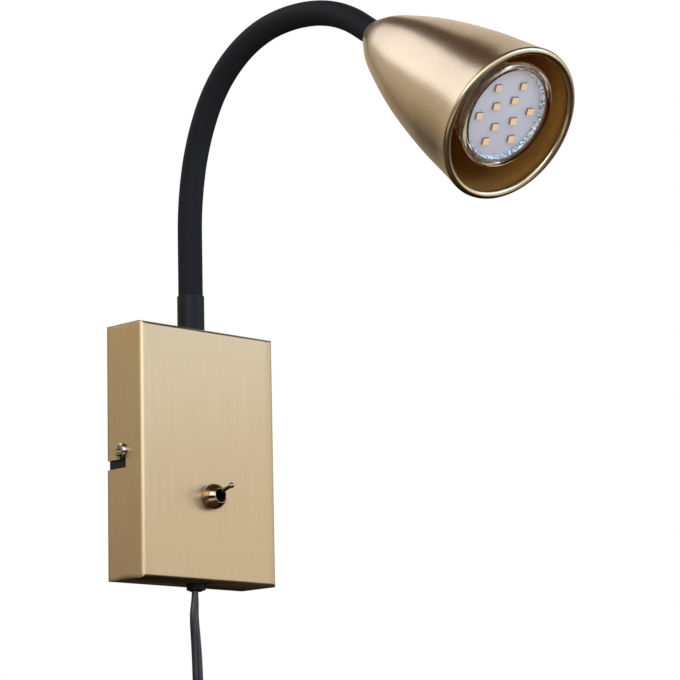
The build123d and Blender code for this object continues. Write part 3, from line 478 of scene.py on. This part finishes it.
# lead: flat two-core flex, hung from the gland, wound into a tied coil below the picture
leadSet = {
    "route": [(-0.7, -14, -64.6), (-0.7, -14, -69), (-1.5, -14, -76), (-0.7, -14, -85), (0.2, -14, -97),
              (0.6, -14, -112), (5.3, -14, -127.3), (14.2, -14, -140.6), (26.4, -14, -150.8)],
    "coilRadius": 42.0, "pitch": 5.4, "layerStep": 6.0, "halfTurnsIn": 8, "halfTurnsOut": 7, "straight": 4.5,
    "tail": 40.0, "tailShares": (0.25, 0.55, 1.0), "pointsPerHalfTurn": 14, "smoothing": 6,
    "width": 5.2, "thick": 2.95, "groove": 0.75, "lobeTurn": 112, "lobeSteps": 10, "length": 1.745,
    "twist": [(0, 45), (10, 13), (20, -4), (30, -17), (42, -26), (75, -90)],  # mm from the gland, degrees
    "endTwist": [(40, -90), (4, -180), (0, -180)],  # mm from the plug, degrees
}
routePoints = [Vector(p) for p in leadSet["route"]]
entry = (routePoints[-1] - routePoints[-2]).normalized()
inward = Vector((entry.z, 0, -entry.x))
intoWall = Vector((0, 1, 0))


def halfTurn(start, across, along, radius, climb=0.0, share=1.0):
    # points round half a turn, leaving out its first; climb carries it to the next layer
    hub = start + across * radius
    steps = round(leadSet["pointsPerHalfTurn"] * share)
    points = []
    for i in range(1, steps + 1):
        turn = pi * share * i / steps
        rise = climb * (0.5 - 0.5 * cos(pi * i / steps))
        points.append(hub - across * (radius * cos(turn)) + along * (radius * sin(turn)) + intoWall * rise)
    return points


coilPoints = [routePoints[-1] + entry * leadSet["straight"]]
across, along, turnRadius = inward, entry, leadSet["coilRadius"]
for step in range(leadSet["halfTurnsIn"]):
    coilPoints += halfTurn(coilPoints[-1], across, along, turnRadius)
    across, along, turnRadius = -across, -along, turnRadius - leadSet["pitch"] / 2
coilPoints += halfTurn(coilPoints[-1], across, along, turnRadius, climb=leadSet["layerStep"])
across, along = -across, -along
for step in range(leadSet["halfTurnsOut"]):
    turnRadius += leadSet["pitch"] / 2
    coilPoints += halfTurn(coilPoints[-1], across, along, turnRadius)
    across, along = -across, -along
turnRadius += leadSet["pitch"] / 2
lastShare = acos(across.dot(Vector((-1, 0, 0)))) / pi  # ends where it heads straight down
coilPoints += halfTurn(coilPoints[-1], across, along, turnRadius, share=lastShare)
tailPoints = [coilPoints[-1] - Vector((0, 0, leadSet["tail"] * t)) for t in leadSet["tailShares"]]
controlPoints = [p * mm for p in routePoints + coilPoints + tailPoints]

routeCurve = bpy.data.curves.new("leadRoute", "CURVE")
routeCurve.dimensions = "3D"
routeCurve.resolution_u = leadSet["smoothing"]
spline = routeCurve.splines.new("NURBS")
spline.points.add(len(controlPoints) - 1)
for point, place in zip(spline.points, controlPoints):
    point.co = (*place, 1)
spline.order_u = 3
spline.use_endpoint_u = True
routeHolder = addObject("leadRoute", routeCurve)
bpy.context.view_layer.update()
routeMesh = bpy.data.meshes.new_from_object(routeHolder)
leadLine = [v.co.copy() for v in routeMesh.vertices]
bpy.data.objects.remove(routeHolder)
bpy.data.meshes.remove(routeMesh)

# the flex leaves edge-on, turns its flat side to the room, then stands on edge through the coil
leadRun = [0.0]
for a, b in zip(leadLine, leadLine[1:]):
    leadRun.append(leadRun[-1] + (b - a).length)
leadTurns = [(run * mm, turn) for run, turn in leadSet["twist"]]
leadTurns += [(leadRun[-1] - run * mm, turn) for run, turn in leadSet["endTwist"]]


def leadTurnAt(run):
    for (fromRun, fromTurn), (toRun, toTurn) in zip(leadTurns, leadTurns[1:]):
        if run <= toRun:
            t = (run - fromRun) / (toRun - fromRun)
            return radians(fromTurn + (toTurn - fromTurn) * t)
    return radians(leadTurns[-1][1])


lobe = leadSet["thick"] / 2
lobeAt = leadSet["width"] / 2 - lobe
leadSection = []
for side in (1, -1):
    for i in range(leadSet["lobeSteps"] + 1):
        turn = radians(leadSet["lobeTurn"] * (2 * i / leadSet["lobeSteps"] - 1))
        leadSection.append((side * (lobeAt + lobe * cos(turn)), side * lobe * sin(turn)))
    leadSection.append((0.0, side * (lobe - leadSet["groove"])))
leadFlat = [Vector((cos(turn), sin(turn), 0)) for turn in map(leadTurnAt, leadRun)]
lead = sweepAlong("leadFlex", leadLine, leadSection, leadFlat, pvcBlack)
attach(lead, "base")
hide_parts("cord_lead", "cord_coil")
print("lead made, length", round(leadRun[-1], 4))

# tie: strap round the coil; flat and side are the straight shares of its width and thickness
tieSet = {"wide": 8.0, "thick": 1.0, "corner": 3.0, "flat": 0.96, "side": 0.6,
          "cordRadius": 2.25, "cordDeep": 5.5, "slack": 0.5}
tieLow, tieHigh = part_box("cord_tie")
tieCentre = (tieLow + tieHigh) / 2
around = tieSet["cordRadius"] + tieSet["slack"]
bundleOut = leadSet["coilRadius"] - leadSet["pitch"] / 2 + around
innerTurn = leadSet["coilRadius"] - leadSet["pitch"] / 2 * (leadSet["halfTurnsIn"] - 1)
bundleIn = sqrt(innerTurn ** 2 - ((tieSet["wide"] + leadSet["pitch"]) / 2) ** 2) - around
strapOutline = roundedOutline(bundleOut - bundleIn + tieSet["thick"],
                              leadSet["layerStep"] + tieSet["cordDeep"] + tieSet["thick"], tieSet["corner"])
strapLoop = [tieCentre + (entry * u + intoWall * v) * mm for u, v in strapOutline + strapOutline[:1]]
flat, side = tieSet["flat"], tieSet["side"]
strapCorners = ((-1, -side), (-flat, -1), (flat, -1), (1, -side),
                (1, side), (flat, 1), (-flat, 1), (-1, side))
strapSection = [(u * tieSet["wide"] / 2, v * tieSet["thick"] / 2) for u, v in strapCorners]
tie = sweepAlong("leadTie", strapLoop, strapSection, [inward] * len(strapLoop), nylonBlack, capped=False)
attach(tie, "base")
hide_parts("cord_tie")

# plug: moulded body with finger grips and a ribbed relief
plugSet = {"reliefTop": 7.0, "relief": 9.0, "reliefHigh": 10.0, "ribs": 5, "ribDeep": 0.45, "ringsPerRib": 4,
           "flat": 0.01, "top": (14.0, 11.0), "body": (35.0, 13.7), "corner": 4.5, "gripHigh": 14.0,
           "gripSteps": 12, "high": 33.0,  # foot: share of the way down, inset
           "foot": ((0.3, 0.35), (0.34, 0), (0.93, 0), (0.965, 0.3), (0.99, 0.9), (1.0, 1.5))}
plugLow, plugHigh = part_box("plug_body")
plugTop = middleAt(plugLow, plugHigh, plugHigh.z)
plugRings = []
reliefRings = plugSet["ribs"] * plugSet["ringsPerRib"]
for i in range(reliefRings + 1):
    t = i / reliefRings
    size = plugSet["reliefTop"] + (plugSet["relief"] - plugSet["reliefTop"]) * t
    if i % plugSet["ringsPerRib"] in (1, 2):
        size -= plugSet["ribDeep"] * 2
    plugRings.append((-plugSet["reliefHigh"] * t, roundedOutline(size, size, size / 2 - plugSet["flat"])))
for i in range(plugSet["gripSteps"] + 1):
    t = i / plugSet["gripSteps"]
    ease = t * t * (3 - 2 * t)
    wide = plugSet["top"][0] + (plugSet["body"][0] - plugSet["top"][0]) * ease
    deep = plugSet["top"][1] + (plugSet["body"][1] - plugSet["top"][1]) * t
    low = -plugSet["reliefHigh"] - plugSet["gripHigh"] * t
    plugRings.append((low, roundedOutline(wide, deep, plugSet["corner"])))
for t, inset in plugSet["foot"]:
    low = -plugSet["reliefHigh"] - plugSet["gripHigh"] - (plugSet["high"] - plugSet["gripHigh"]) * t
    wide, deep = (size - 2 * inset for size in plugSet["body"])
    plugRings.append((low, roundedOutline(wide, deep, plugSet["corner"] - inset / 2)))
ringCount = len(plugRings[0][1])
plugPoints = [(x * mm, y * mm, z * mm) for z, outline in plugRings for x, y in outline]
plugFaces = ringFaces(len(plugRings), ringCount)
plugFaces += [tuple(range(ringCount)), tuple(range(len(plugPoints) - ringCount, len(plugPoints)))]
plug = addMesh("plugBody", plugPoints, plugFaces, [pvcBlack], place=Matrix.Translation(plugTop), sharpAt=35)
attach(plug, "base")
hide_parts("plug_body")

# plug pins: bare tips, sleeved roots; the shares are of the pin's radius
pinSet = {"radius": 2.0, "spacing": 18.6, "length": 19.0, "sleeve": 10.0, "sleeveShare": 0.96,
          "noseShare": 0.75, "tipShare": 0.3, "noseTurns": (20, 40, 60, 80, 90)}
pinPlace = middleAt(plugLow, plugHigh, plugLow.z)
pinRadius, pinLong, sleeveLong = pinSet["radius"], pinSet["length"], pinSet["sleeve"]
sleeveRadius, noseLong = pinRadius * pinSet["sleeveShare"], pinRadius * pinSet["noseShare"]
pinProfile = [(0, 0), (0, sleeveRadius), (sleeveLong, sleeveRadius), (sleeveLong, pinRadius),
              (pinLong - noseLong, pinRadius)]
for turn in map(radians, pinSet["noseTurns"]):
    share = pinSet["tipShare"] + (1 - pinSet["tipShare"]) * cos(turn)
    pinProfile.append((pinLong - noseLong * (1 - sin(turn)), pinRadius * share))
pinProfile.append((pinLong, 0))
for side, sideName in ((-1, "Left"), (1, "Right")):
    at = pinPlace + Vector((side * pinSet["spacing"] / 2 * mm, 0, 0))
    pin = lathe("plugPin" + sideName, pinProfile, [nylonBlack, zincSteel], placed(at, (0, 0, -1)),
                segments=32, bands=lambda k: 0 if k < 2 else 1)
    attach(pin, "base")
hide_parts("plug_pins")

# gland: flanged bush with a notched, tapered nose
glandSet = {"flange": 9.6, "flangeHigh": 3.0, "flangeTaper": 0.25, "nose": 6.6, "tip": 5.6, "noseHigh": 0.6,
            "bore": 3.6, "boreTaper": 0.05, "thread": 7.0, "threadHigh": 5.0, "edge": 0.3, "sides": 64,
            "notches": 8, "notchDeep": 0.22, "notchRings": range(13, 24)}
flangeRadius, noseRadius, noseTip, boreRadius, threadRadius = (
    glandSet[part] / 2 for part in ("flange", "nose", "tip", "bore", "thread"))
threadTop, flangeEnd = glandSet["threadHigh"], -glandSet["flangeHigh"]
noseEnd = flangeEnd - glandSet["noseHigh"]
glandCorners = [(threadTop, boreRadius), (threadTop, threadRadius), (0, threadRadius), (0, flangeRadius),
                (flangeEnd, flangeRadius - glandSet["flangeTaper"]), (flangeEnd, noseRadius),
                (noseEnd, noseTip), (noseEnd, boreRadius), (0, boreRadius - glandSet["boreTaper"])]
glandAt = middleAt(*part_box("cord_gland"), coverLow.z)
notchGap = glandSet["sides"] // glandSet["notches"]


def glandNotch(k, i):
    return -glandSet["notchDeep"] if i % notchGap in (0, 1) and k in glandSet["notchRings"] else 0


gland = lathe("cordGland", softened(glandCorners, glandSet["edge"], steps=3), [nylonBlack],
              placed(glandAt, (0, 0, 1)), segments=glandSet["sides"], ripple=glandNotch)
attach(gland, "base")
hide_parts("cord_gland")
print("plug, tie and gland made")


# arm: one rubber sleeve in eight lengths, each curving round one of the arm's joints
armSet = {"radius": 6.0, "ringGap": 1.1, "fewest": 3, "sides": 40, "neckOut": 10.3, "straight": 1e-4}
armNames = ["arm_lower_bend", "arm_lower_side", "arm_lower_bend_b", "arm_lower_side_b",
            "arm_upper_bend", "arm_upper_side", "arm_upper_bend_b", "arm_upper_side_b"]
armPivots = [Vector(joints[name]["pos_m"]) for name in armNames]
lampTurn = joints["bulb_twist"]
bulbMouth, lampDir = Vector(lampTurn["pos_m"]), Vector(lampTurn["axis"]).normalized()
neckAt = armPivots[-1] + lampDir * (armSet["neckOut"] * mm)


def arcPoint(start, end, heading, share):
    # point and heading on the arc that leaves start along heading and reaches end
    chord = end - start
    bend = 2 * heading.angle(chord, 0.0)
    if bend < armSet["straight"]:
        return start + chord * share, heading
    radius = chord.length / (2 * sin(bend / 2))
    side = (chord - heading * chord.dot(heading)).normalized()
    turn = bend * share
    return (start + heading * (radius * sin(turn)) + side * (radius * (1 - cos(turn))),
            heading * cos(turn) + side * sin(turn))


armFoot = Vector((armPivots[0].x, armPivots[0].y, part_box("arm_foot_sleeve")[0].z))
armStops = [armFoot] + armPivots + [neckAt]
armHeads = [Vector((0, 0, 1))]
for a, b in zip(armStops, armStops[1:]):
    armHeads.append(arcPoint(a, b, armHeads[-1], 1.0)[1])


def armStretch(index, fromShare, toShare):
    a, b, heading = armStops[index], armStops[index + 1], armHeads[index]
    rings = (b - a).length * (toShare - fromShare) / (armSet["ringGap"] * mm)
    steps = max(armSet["fewest"], round(rings))
    shares = [fromShare + (toShare - fromShare) * i / steps for i in range(steps + 1)]
    return [arcPoint(a, b, heading, share)[0] for share in shares]


armTurns = [2 * pi * i / armSet["sides"] for i in range(armSet["sides"])]
armSection = [(armSet["radius"] * cos(turn), armSet["radius"] * sin(turn)) for turn in armTurns]
sleeveNodes = ["arm_foot_sleeve"] + ["arm_sleeve_%d" % k for k in range(1, 8)] + ["arm_end_sleeve"]
lastLength = len(armPivots) - 1
for k in range(len(armPivots)):
    before = armStretch(k, 0.5 if k else 0.0, 1.0)
    after = armStretch(k + 1, 0.0, 0.5 if k < lastLength else 1.0)
    centres = before[:-1] + after
    sleeve = sweepAlong("armSleeve%d" % (k + 1), centres, armSection, [Vector((1, 0, 0))] * len(centres),
                        siliconeBlack, capped=k in (0, lastLength))
    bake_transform(sleeve)
    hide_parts(*([sleeveNodes[k]] if k < lastLength else sleeveNodes[lastLength:]))
print("arm sleeve made")

# ferrule: moulded collar at the foot of the arm
ferruleSet = {"radius": 6.6, "high": 18.5, "bore": 6.1, "boreDeep": 2.0, "footBore": 5.1, "foot": 0.4,
              "edge": 0.35}
ferruleLow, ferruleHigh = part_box("arm_ferrule")
collarRadius, collarTop, collarBore = (ferruleSet[part] for part in ("radius", "high", "bore"))
ferruleCorners = [(0, ferruleSet["footBore"]), (0, collarRadius), (ferruleSet["foot"], collarRadius),
                  (collarTop, collarRadius), (collarTop, collarBore),
                  (collarTop - ferruleSet["boreDeep"], collarBore)]
ferruleAt = middleAt(ferruleLow, ferruleHigh, ferruleLow.z)
ferrule = lathe("armFerrule", softened(ferruleCorners, ferruleSet["edge"], steps=4), [nylonBlack],
                placed(ferruleAt, (0, 0, 1)), segments=72)
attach(ferrule, "base")
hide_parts("arm_ferrule")


# shade: spun bell with a rolled lip and its lacquered inside, as (behind its mouth, radius) pairs
shadeSet = {
    "bell": [(2.2, 36.05), (8, 35.0), (18, 33.6), (30, 31.85), (44, 29.05), (58, 25.7), (70, 22.05),
             (80, 18.5), (87, 15.8), (92, 13.4), (96, 11.0), (100, 8.4), (102.2, 6.9)],
    "neck": 103.0, "neckHole": 5.1, "neckEdge": [(103.0, 5.9), (102.75, 6.3)], "smoothing": 5,
    "lipInner": 32.6, "lipBead": 1.78, "lipTurn": 195, "lipStep": 15, "lipFoot": (3.0, 33.1),
    "wall": 1.25, "insideFront": [(3.6, 33.6), (6.5, 33.95)], "insideShare": 0.93, "insideOf": slice(2, 9),
    "floor": 95.8, "floorRadius": 7.7, "floorEdge": (87.8, 13.4),
}


def behind(pairs):
    return [(-away, radius) for away, radius in pairs]


bead = shadeSet["lipBead"]
neck, neckHole, floorAt = (shadeSet[part] for part in ("neck", "neckHole", "floor"))
outer = smoothThrough(behind(shadeSet["bell"]), shadeSet["smoothing"])
lipTurns = [radians(turn) for turn in range(0, shadeSet["lipTurn"] + 1, shadeSet["lipStep"])]
lip = [(bead * (sin(turn) - 1), shadeSet["lipInner"] + bead * (1 + cos(turn))) for turn in lipTurns]
lip += behind([shadeSet["lipFoot"]])
lining = [(away * shadeSet["insideShare"], radius - shadeSet["wall"])
          for away, radius in shadeSet["bell"][shadeSet["insideOf"]]]
inside = smoothThrough(behind(shadeSet["insideFront"] + lining), shadeSet["smoothing"])
neckEnd = behind([(neck, neckHole)] + shadeSet["neckEdge"])
floorEnd = behind([shadeSet["floorEdge"], (floorAt, shadeSet["floorRadius"]), (floorAt, neckHole)])
lipFrom = len(neckEnd) + len(outer) - 1
insideFrom = lipFrom + len(lip) - 1


def shadeBand(k):
    return 0 if k < lipFrom else 1 if k < insideFrom else 2


mouth = neckAt + lampDir * (neck * mm)
shade = lathe("shadeBell", neckEnd + outer[::-1] + lip + inside + floorEnd,
              [satinGold, polishedGold, innerGold], placed(mouth, lampDir), segments=192, bands=shadeBand,
              closed=True, sharpAt=50)
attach(shade, "head")
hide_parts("shade")
print("shade made")


# bulb: pressed-glass cup with a thick rim, clear pane, board of chips and a ring of prisms
# rim: depth behind the front, a circle, how far outside it; cup: depth behind the front, radius
bulbSet = {
    "recess": 4.0, "radius": 24.75, "pane": 21.3, "board": 20.4, "boardDeep": 3.3, "boardThick": 1.2,
    "rim": ((3.2, "pane", 0.1), (0.5, "pane", 0.1), (0.1, "pane", 0.5), (0.0, "pane", 1.1),
            (0.0, "radius", -1.0), (0.9, "radius", 0.0), (2.6, "radius", 0.0), (3.3, "radius", -0.7),
            (4.6, "radius", -1.2), (4.6, "pane", 0.4), (3.2, "pane", 0.1)),
    "rimEdge": 0.4,
    "cup": ((4.6, 23.55), (10, 21.6), (18, 18.4), (26, 15.8), (32, 14.2), (36, 13.2)),
    "cupHole": 11.0, "smoothing": 6, "flutes": 48, "sidesPerFlute": 4, "fluteDeep": 0.35,
    "fluteRings": range(5, 28),
    "paneDepths": (1.1, 0.7, 0.5), "paneBevel": 0.3, "edge": 0.15,
}
front = -bulbSet["recess"]
bulbPlace = placed(bulbMouth, lampDir)  # a little above the middle of the shade
rimCorners = [(front - deep, bulbSet[circle] + out) for deep, circle, out in bulbSet["rim"]]
bulbRim = lathe("bulbRim", softened(rimCorners, bulbSet["rimEdge"], steps=3), [rimGlassWarmReflection], bulbPlace,
                segments=128, sharpAt=60)
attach(bulbRim, "bulb")

cupSide = [(front - deep, radius) for deep, radius in bulbSet["cup"]]
cupProfile = smoothThrough(cupSide, bulbSet["smoothing"]) + [(cupSide[-1][0], bulbSet["cupHole"])]


def cupFlute(k, i):
    sunken = i % bulbSet["sidesPerFlute"] in (1, 2)
    return -bulbSet["fluteDeep"] if sunken and k in bulbSet["fluteRings"] else 0


cup = lathe("bulbCup", cupProfile, [rimGlassWarmReflection], bulbPlace, ripple=cupFlute, sharpAt=60,
            segments=bulbSet["flutes"] * bulbSet["sidesPerFlute"])
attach(cup, "bulb")
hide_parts("bulb_cup")

paneRadius = bulbSet["pane"]
paneBack, paneSide, paneFront = (front - deep for deep in bulbSet["paneDepths"])
paneCorners = [(paneBack, 0), (paneBack, paneRadius), (paneSide, paneRadius),
               (paneFront, paneRadius - bulbSet["paneBevel"]), (paneFront, 0)]
pane = lathe("bulbPane", softened(paneCorners, bulbSet["edge"], steps=2), [paneGlass], bulbPlace,
             segments=96)
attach(pane, "bulb")
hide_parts("bulb_window")

boardFront = front - bulbSet["boardDeep"]
boardBack = boardFront - bulbSet["boardThick"]
boardRadius = bulbSet["board"]
boardCorners = [(boardBack, 0), (boardBack, boardRadius), (boardFront, boardRadius), (boardFront, 0)]
board = lathe("bulbBoard", softened(boardCorners, bulbSet["edge"], steps=2), [solderMask], bulbPlace,
              segments=96)
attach(board, "bulb")
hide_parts("bulb_board")

# prisms between pane and board, cut as a zigzag of facets
prismSet = {"count": 60, "cut": 0.9, "beats": (2.4, 0.7), "cutCorners": (1, 2),
            "corners": ((1.15, 0.1), (1.9, 0.5), (3.0, 1.0), (3.28, 0.9))}  # depth, inset from the pane


def prismCut(k, i):
    # every second edge is cut back, unevenly, so that the facets glint
    if i % 2 == 0 or k not in prismSet["cutCorners"]:
        return 0
    quick, slow = prismSet["beats"]
    return -prismSet["cut"] * abs(sin(i * quick) * sin(i * slow))


prismCorners = [(front - deep, paneRadius - inset) for deep, inset in prismSet["corners"]]
prisms = lathe("bulbPrisms", prismCorners, [prismGlassGlints], bulbPlace, segments=prismSet["count"] * 2,
               closed=True, ripple=prismCut, sharpAt=8)
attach(prisms, "bulb")

# chips: resin package with a sunken phosphor window
chipSet = {"size": (3.7, 3.1), "high": 1.2, "bevel": 0.1, "frame": 0.2, "slope": 0.08, "sink": 0.12,
           "turn": 15.0, "rings": ((4, 7.2, 71.5), (6, 14.6, 15.0))}  # how many, radius, where the first is
chipWide, chipDeep = chipSet["size"]
chipTop = chipSet["high"]
chipLayers = [(0, 0), (0, chipTop - chipSet["bevel"]), (chipSet["bevel"], chipTop),
              (chipSet["frame"], chipTop),
              (chipSet["frame"] + chipSet["slope"], chipTop - chipSet["sink"])]  # inset, height
lean = radians(chipSet["turn"])
chipPoints, chipFaces, chipPick = [], [], []
for amount, ringRadius, first in chipSet["rings"]:
    for i in range(amount):
        turn = radians(first + 360 * i / amount)
        cx, cy = ringRadius * cos(turn), ringRadius * sin(turn)
        chipFaces += ringFaces(len(chipLayers), 4, first=len(chipPoints))
        for inset, height in chipLayers:
            for sx, sy in ((1, 1), (-1, 1), (-1, -1), (1, -1)):
                x, y = sx * (chipWide / 2 - inset), sy * (chipDeep / 2 - inset)
                chipPoints.append(((cx + x * cos(lean) - y * sin(lean)) * mm,
                                   (cy + x * sin(lean) + y * cos(lean)) * mm, (boardFront + height) * mm))
        chipFaces.append(tuple(range(len(chipPoints) - 4, len(chipPoints))))
        # the resin sides carry the painted shade
        chipPick += [0] * 4 + [1] * (4 * (len(chipLayers) - 2) + 1)  # resin sides, phosphor above
chips = addMesh("bulbChips", chipPoints, chipFaces, [chipResinShade, chipPhosphor], chipPick, bulbPlace,
                sharpAt=20)
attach(chips, "bulb")
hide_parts("bulb_chips")
print("bulb made")


# switch: ball nut with a flat nose, and the bat lever with its ball tip
nutSet = {"ball": 6.2, "ballOut": 2.6, "ballSteps": 24, "foot": 3.1, "nose": 7.65, "mouth": 3.3,
          "mouthDeep": 3.4, "mouthBevel": (0.1, 0.12), "throat": 3.06}
pivotAt = Vector(joints["switch_toggle"]["pos_m"])
nutPlace = placed((0, coverLow.y, pivotAt.z), (0, -1, 0))
ball, ballOut, nose, mouthRadius = (nutSet[part] for part in ("ball", "ballOut", "nose", "mouth"))
mouthFloor = nose - nutSet["mouthDeep"]
bevelDeep, bevelWide = nutSet["mouthBevel"]
ballFrom, ballTo = acos(-ballOut / ball), acos((nose - ballOut) / ball)
nutProfile = [(0, nutSet["foot"])] + arcPoints(ballOut, ball, ballFrom, ballTo, nutSet["ballSteps"])
nutProfile += [(nose, mouthRadius + bevelWide)]
mouthFrom = len(nutProfile)
nutProfile += [(nose - bevelDeep, mouthRadius), (mouthFloor, mouthRadius), (mouthFloor, nutSet["throat"])]
ballNut = lathe("switchBallNut", nutProfile, [bronzedBrass, oxideSteel], nutPlace, segments=72,
                bands=lambda k: 0 if k < mouthFrom else 1, sharpAt=35)
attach(ballNut, "base")
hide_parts("switch_dome_nut")

leverSet = {"length": 13.2, "root": 1.1, "tip": 0.85, "tipBall": 1.4, "ballSteps": 14, "hub": 1.8,
            "hubSteps": 12, "tail": 3.0, "tailEdge": 0.2, "waistShare": 0.45, "waistIn": 0.06,
            "neckGap": 0.6, "neckOut": 0.02, "throw": 17.4}
leverLong, rootRadius, tipRadius, tipBall = (leverSet[part] for part in ("length", "root", "tip", "tipBall"))
tail, tailEdge = leverSet["tail"], leverSet["tailEdge"]
hubTurn, ballTurn = asin(rootRadius / leverSet["hub"]), asin(tipRadius / tipBall)
leverProfile = [(-tail, 0), (-tail, tipRadius - tailEdge), (-tail + tailEdge, tipRadius)]
leverProfile += arcPoints(0, leverSet["hub"], pi - hubTurn, hubTurn, leverSet["hubSteps"])
leverProfile += [(leverLong * leverSet["waistShare"], rootRadius - leverSet["waistIn"]),
                 (leverLong - tipBall * cos(ballTurn) - leverSet["neckGap"],
                  tipRadius + leverSet["neckOut"])]
tipFrom = len(leverProfile)
leverProfile += arcPoints(leverLong, tipBall, pi - ballTurn, 0, leverSet["ballSteps"])
lever = lathe("switchLever", leverProfile, [nickelSteel, bronzedBrass],
              placed(pivotAt, pointing(0, leverSet["throw"])), segments=40,
              bands=lambda k: 0 if k < tipFrom else 1, sharpAt=35)
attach(lever, "lever")
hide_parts("switch_lever")
print("switch made")


# the remaining solids keep their shape and take their real finish
nodeFinish = {
    brushedBrass: ["cover"],
    blackSteel: ["wall_bracket"],
    chromeSteel: ["cover_screws"],
    oxideSteel: ["switch_bushing"],
    zincSteel: ["switch_pivot_pin", "switch_inner_nut", "terminal_screws", "arm_washer", "arm_lock_nut",
                "neck_nut", "holder_carrier", "holder_screws", "bulb_pins"],
    nylonBlack: ["switch_body", "gland_nut"],
    turnedBrass: ["switch_terminals", "arm_nipple", "shade_nipple", "holder_contacts"],
    creamPlastic: ["terminal_block"],
    steatite: ["lampholder"],
    whitePlastic: ["bulb_base"],
    pvcWire: ["supply_wires", "switch_wire", "lamp_wires", "holder_wires"],
    woundSteel: ["arm_foot_core"] + ["arm_core_%d" % k for k in range(1, 8)],
}
for material, names in nodeFinish.items():
    for name in names:
        nodes[name].data.materials.clear()
        nodes[name].data.materials.append(material)


# light: a warm grey tent, bright from the horizon to high up, dark overhead and below, with soft boxes in it
lightSet = {
    "tent": ((0.0, "#0E0C0A"), (0.46, "#120F0C"), (0.485, "#5E544A"), (0.503, "#988A7C"), (0.545, "#AE9E88"),
             (0.6, "#CBBBA0"), (0.66, "#D6CABA"), (0.75, "#A2968A"), (0.8, "#7E7264"), (0.85, "#665440"),
             (0.9, "#583F26"), (1.0, "#553B20")),  # height from down to up, colour
    "tentPower": 0.95, "backdrop": "#FFFFFF",
    # each box: name, azimuth, elevation, distance from the aim, size, radiance, colour
    "boxes": (("boxLeft", -149, 48, 1.5, (1.25, 0.95), 1.5, "#F1F4FF"),
              ("boxBack", 125, 52, 1.5, (0.42, 1.05), 0.68, "#FCF4EA"),
              ("boxFront", 22, 27, 0.9, (0.7, 0.5), 4.1, "#A2CAFF"),
              ("boxCamera", -18, 10, 1.6, (1.2, 0.9), 1.65, "#D4E3FF"),
              ("boxRight", 50, 3, 1.7, (0.9, 0.8), 1.1, "#EEF2FF"),
              ("boxSide", -62, 20, 1.7, (1.8, 1.2), 1.6, "#E4ECFF"),
              ("boxKey", -60, 15, 1.4, (0.6, 0.5), 4.0, "#DCE7FF"),
              ("boxLow", 35, -14, 1.5, (1.2, 0.6), 0.9, "#F8F9FF"),
              ("boxFloor", -62, -36, 1.5, (1.9, 0.6), 0.8, "#FFF3E2"),
              ("boxBehind", -165, -28, 1.5, (1.0, 0.7), 0.3, "#FFE8C8"),
              ("boxUnder", -60, -78, 1.0, (1.2, 1.2), 0.07, "#FFE3BE")),
    "aim": (0.0, -0.08, 0.06),
}
world = bpy.data.worlds.new("studio")
bpy.context.scene.world = world
world.use_nodes = True
tree = world.node_tree
tree.nodes.clear()
place = addNode(tree, "ShaderNodeTexCoord")
split = addNode(tree, "ShaderNodeSeparateXYZ", links={"Vector": place.outputs["Generated"]})
height = addNode(tree, "ShaderNodeMapRange", {"From Min": -1.0, "From Max": 1.0},
                 {"Value": split.outputs["Z"]})
ramp = addNode(tree, "ShaderNodeValToRGB", links={"Fac": height.outputs["Result"]})
while len(ramp.color_ramp.elements) < len(lightSet["tent"]):
    ramp.color_ramp.elements.new(0.5)
for element, (position, code) in zip(ramp.color_ramp.elements, lightSet["tent"]):
    element.position = position
for element, (position, code) in zip(ramp.color_ramp.elements, lightSet["tent"]):
    element.color = hexLinear(code)
tent = addNode(tree, "ShaderNodeBackground", {"Strength": lightSet["tentPower"]},
               {"Color": ramp.outputs["Color"]})
backdrop = addNode(tree, "ShaderNodeBackground", {"Color": hexLinear(lightSet["backdrop"]), "Strength": 1.0})
eye = addNode(tree, "ShaderNodeLightPath")
mixed = addNode(tree, "ShaderNodeMixShader",
                links={0: eye.outputs["Is Camera Ray"], 1: tent.outputs[0], 2: backdrop.outputs[0]})
addNode(tree, "ShaderNodeOutputWorld", links={"Surface": mixed.outputs[0]})

aim = Vector(lightSet["aim"])
for name, azimuth, elevation, distance, size, radiance, code in lightSet["boxes"]:
    direction = pointing(azimuth, elevation)
    lamp = bpy.data.lights.new(name, "AREA")
    lamp.shape = "RECTANGLE"
    lamp.size, lamp.size_y = size
    lamp.energy = radiance * pi * size[0] * size[1]
    lamp.color = hexLinear(code)[:3]
    holder = addObject(name, lamp)
    holder.location = aim + direction * distance
    holder.rotation_mode = "QUATERNION"
    holder.rotation_quaternion = direction.to_track_quat("Z", "Y")

# floor: plain pale paper with a glow of its own, well below the hanging plug
floorSet = {"height": -1.8, "half": 12.0, "glow": 0.42, "glowColour": "#F4F3F0"}
floorPaper = newMaterial(
    "PaperBackdrop", "#E9E8E5", 0.0, 0.85, Emission_Color=hexLinear(floorSet["glowColour"]),
    Emission_Strength=floorSet["glow"],
    grain=(12, 12), dark="#E6E5E2", light="#ECEBE8", rough=(0.8, 0.9))
half = floorSet["half"]
floorCorners = [(-half, -half, 0), (half, -half, 0), (half, half, 0), (-half, half, 0)]
floor = addMesh("studioFloor", floorCorners, [(0, 1, 2, 3)], [floorPaper],
                place=Matrix.Translation((0, 0, floorSet["height"])))
floor.visible_glossy = False  # the room's dark lower half shows in the metal instead

bpy.context.scene.view_settings.view_transform = "Standard"
print("studio made")
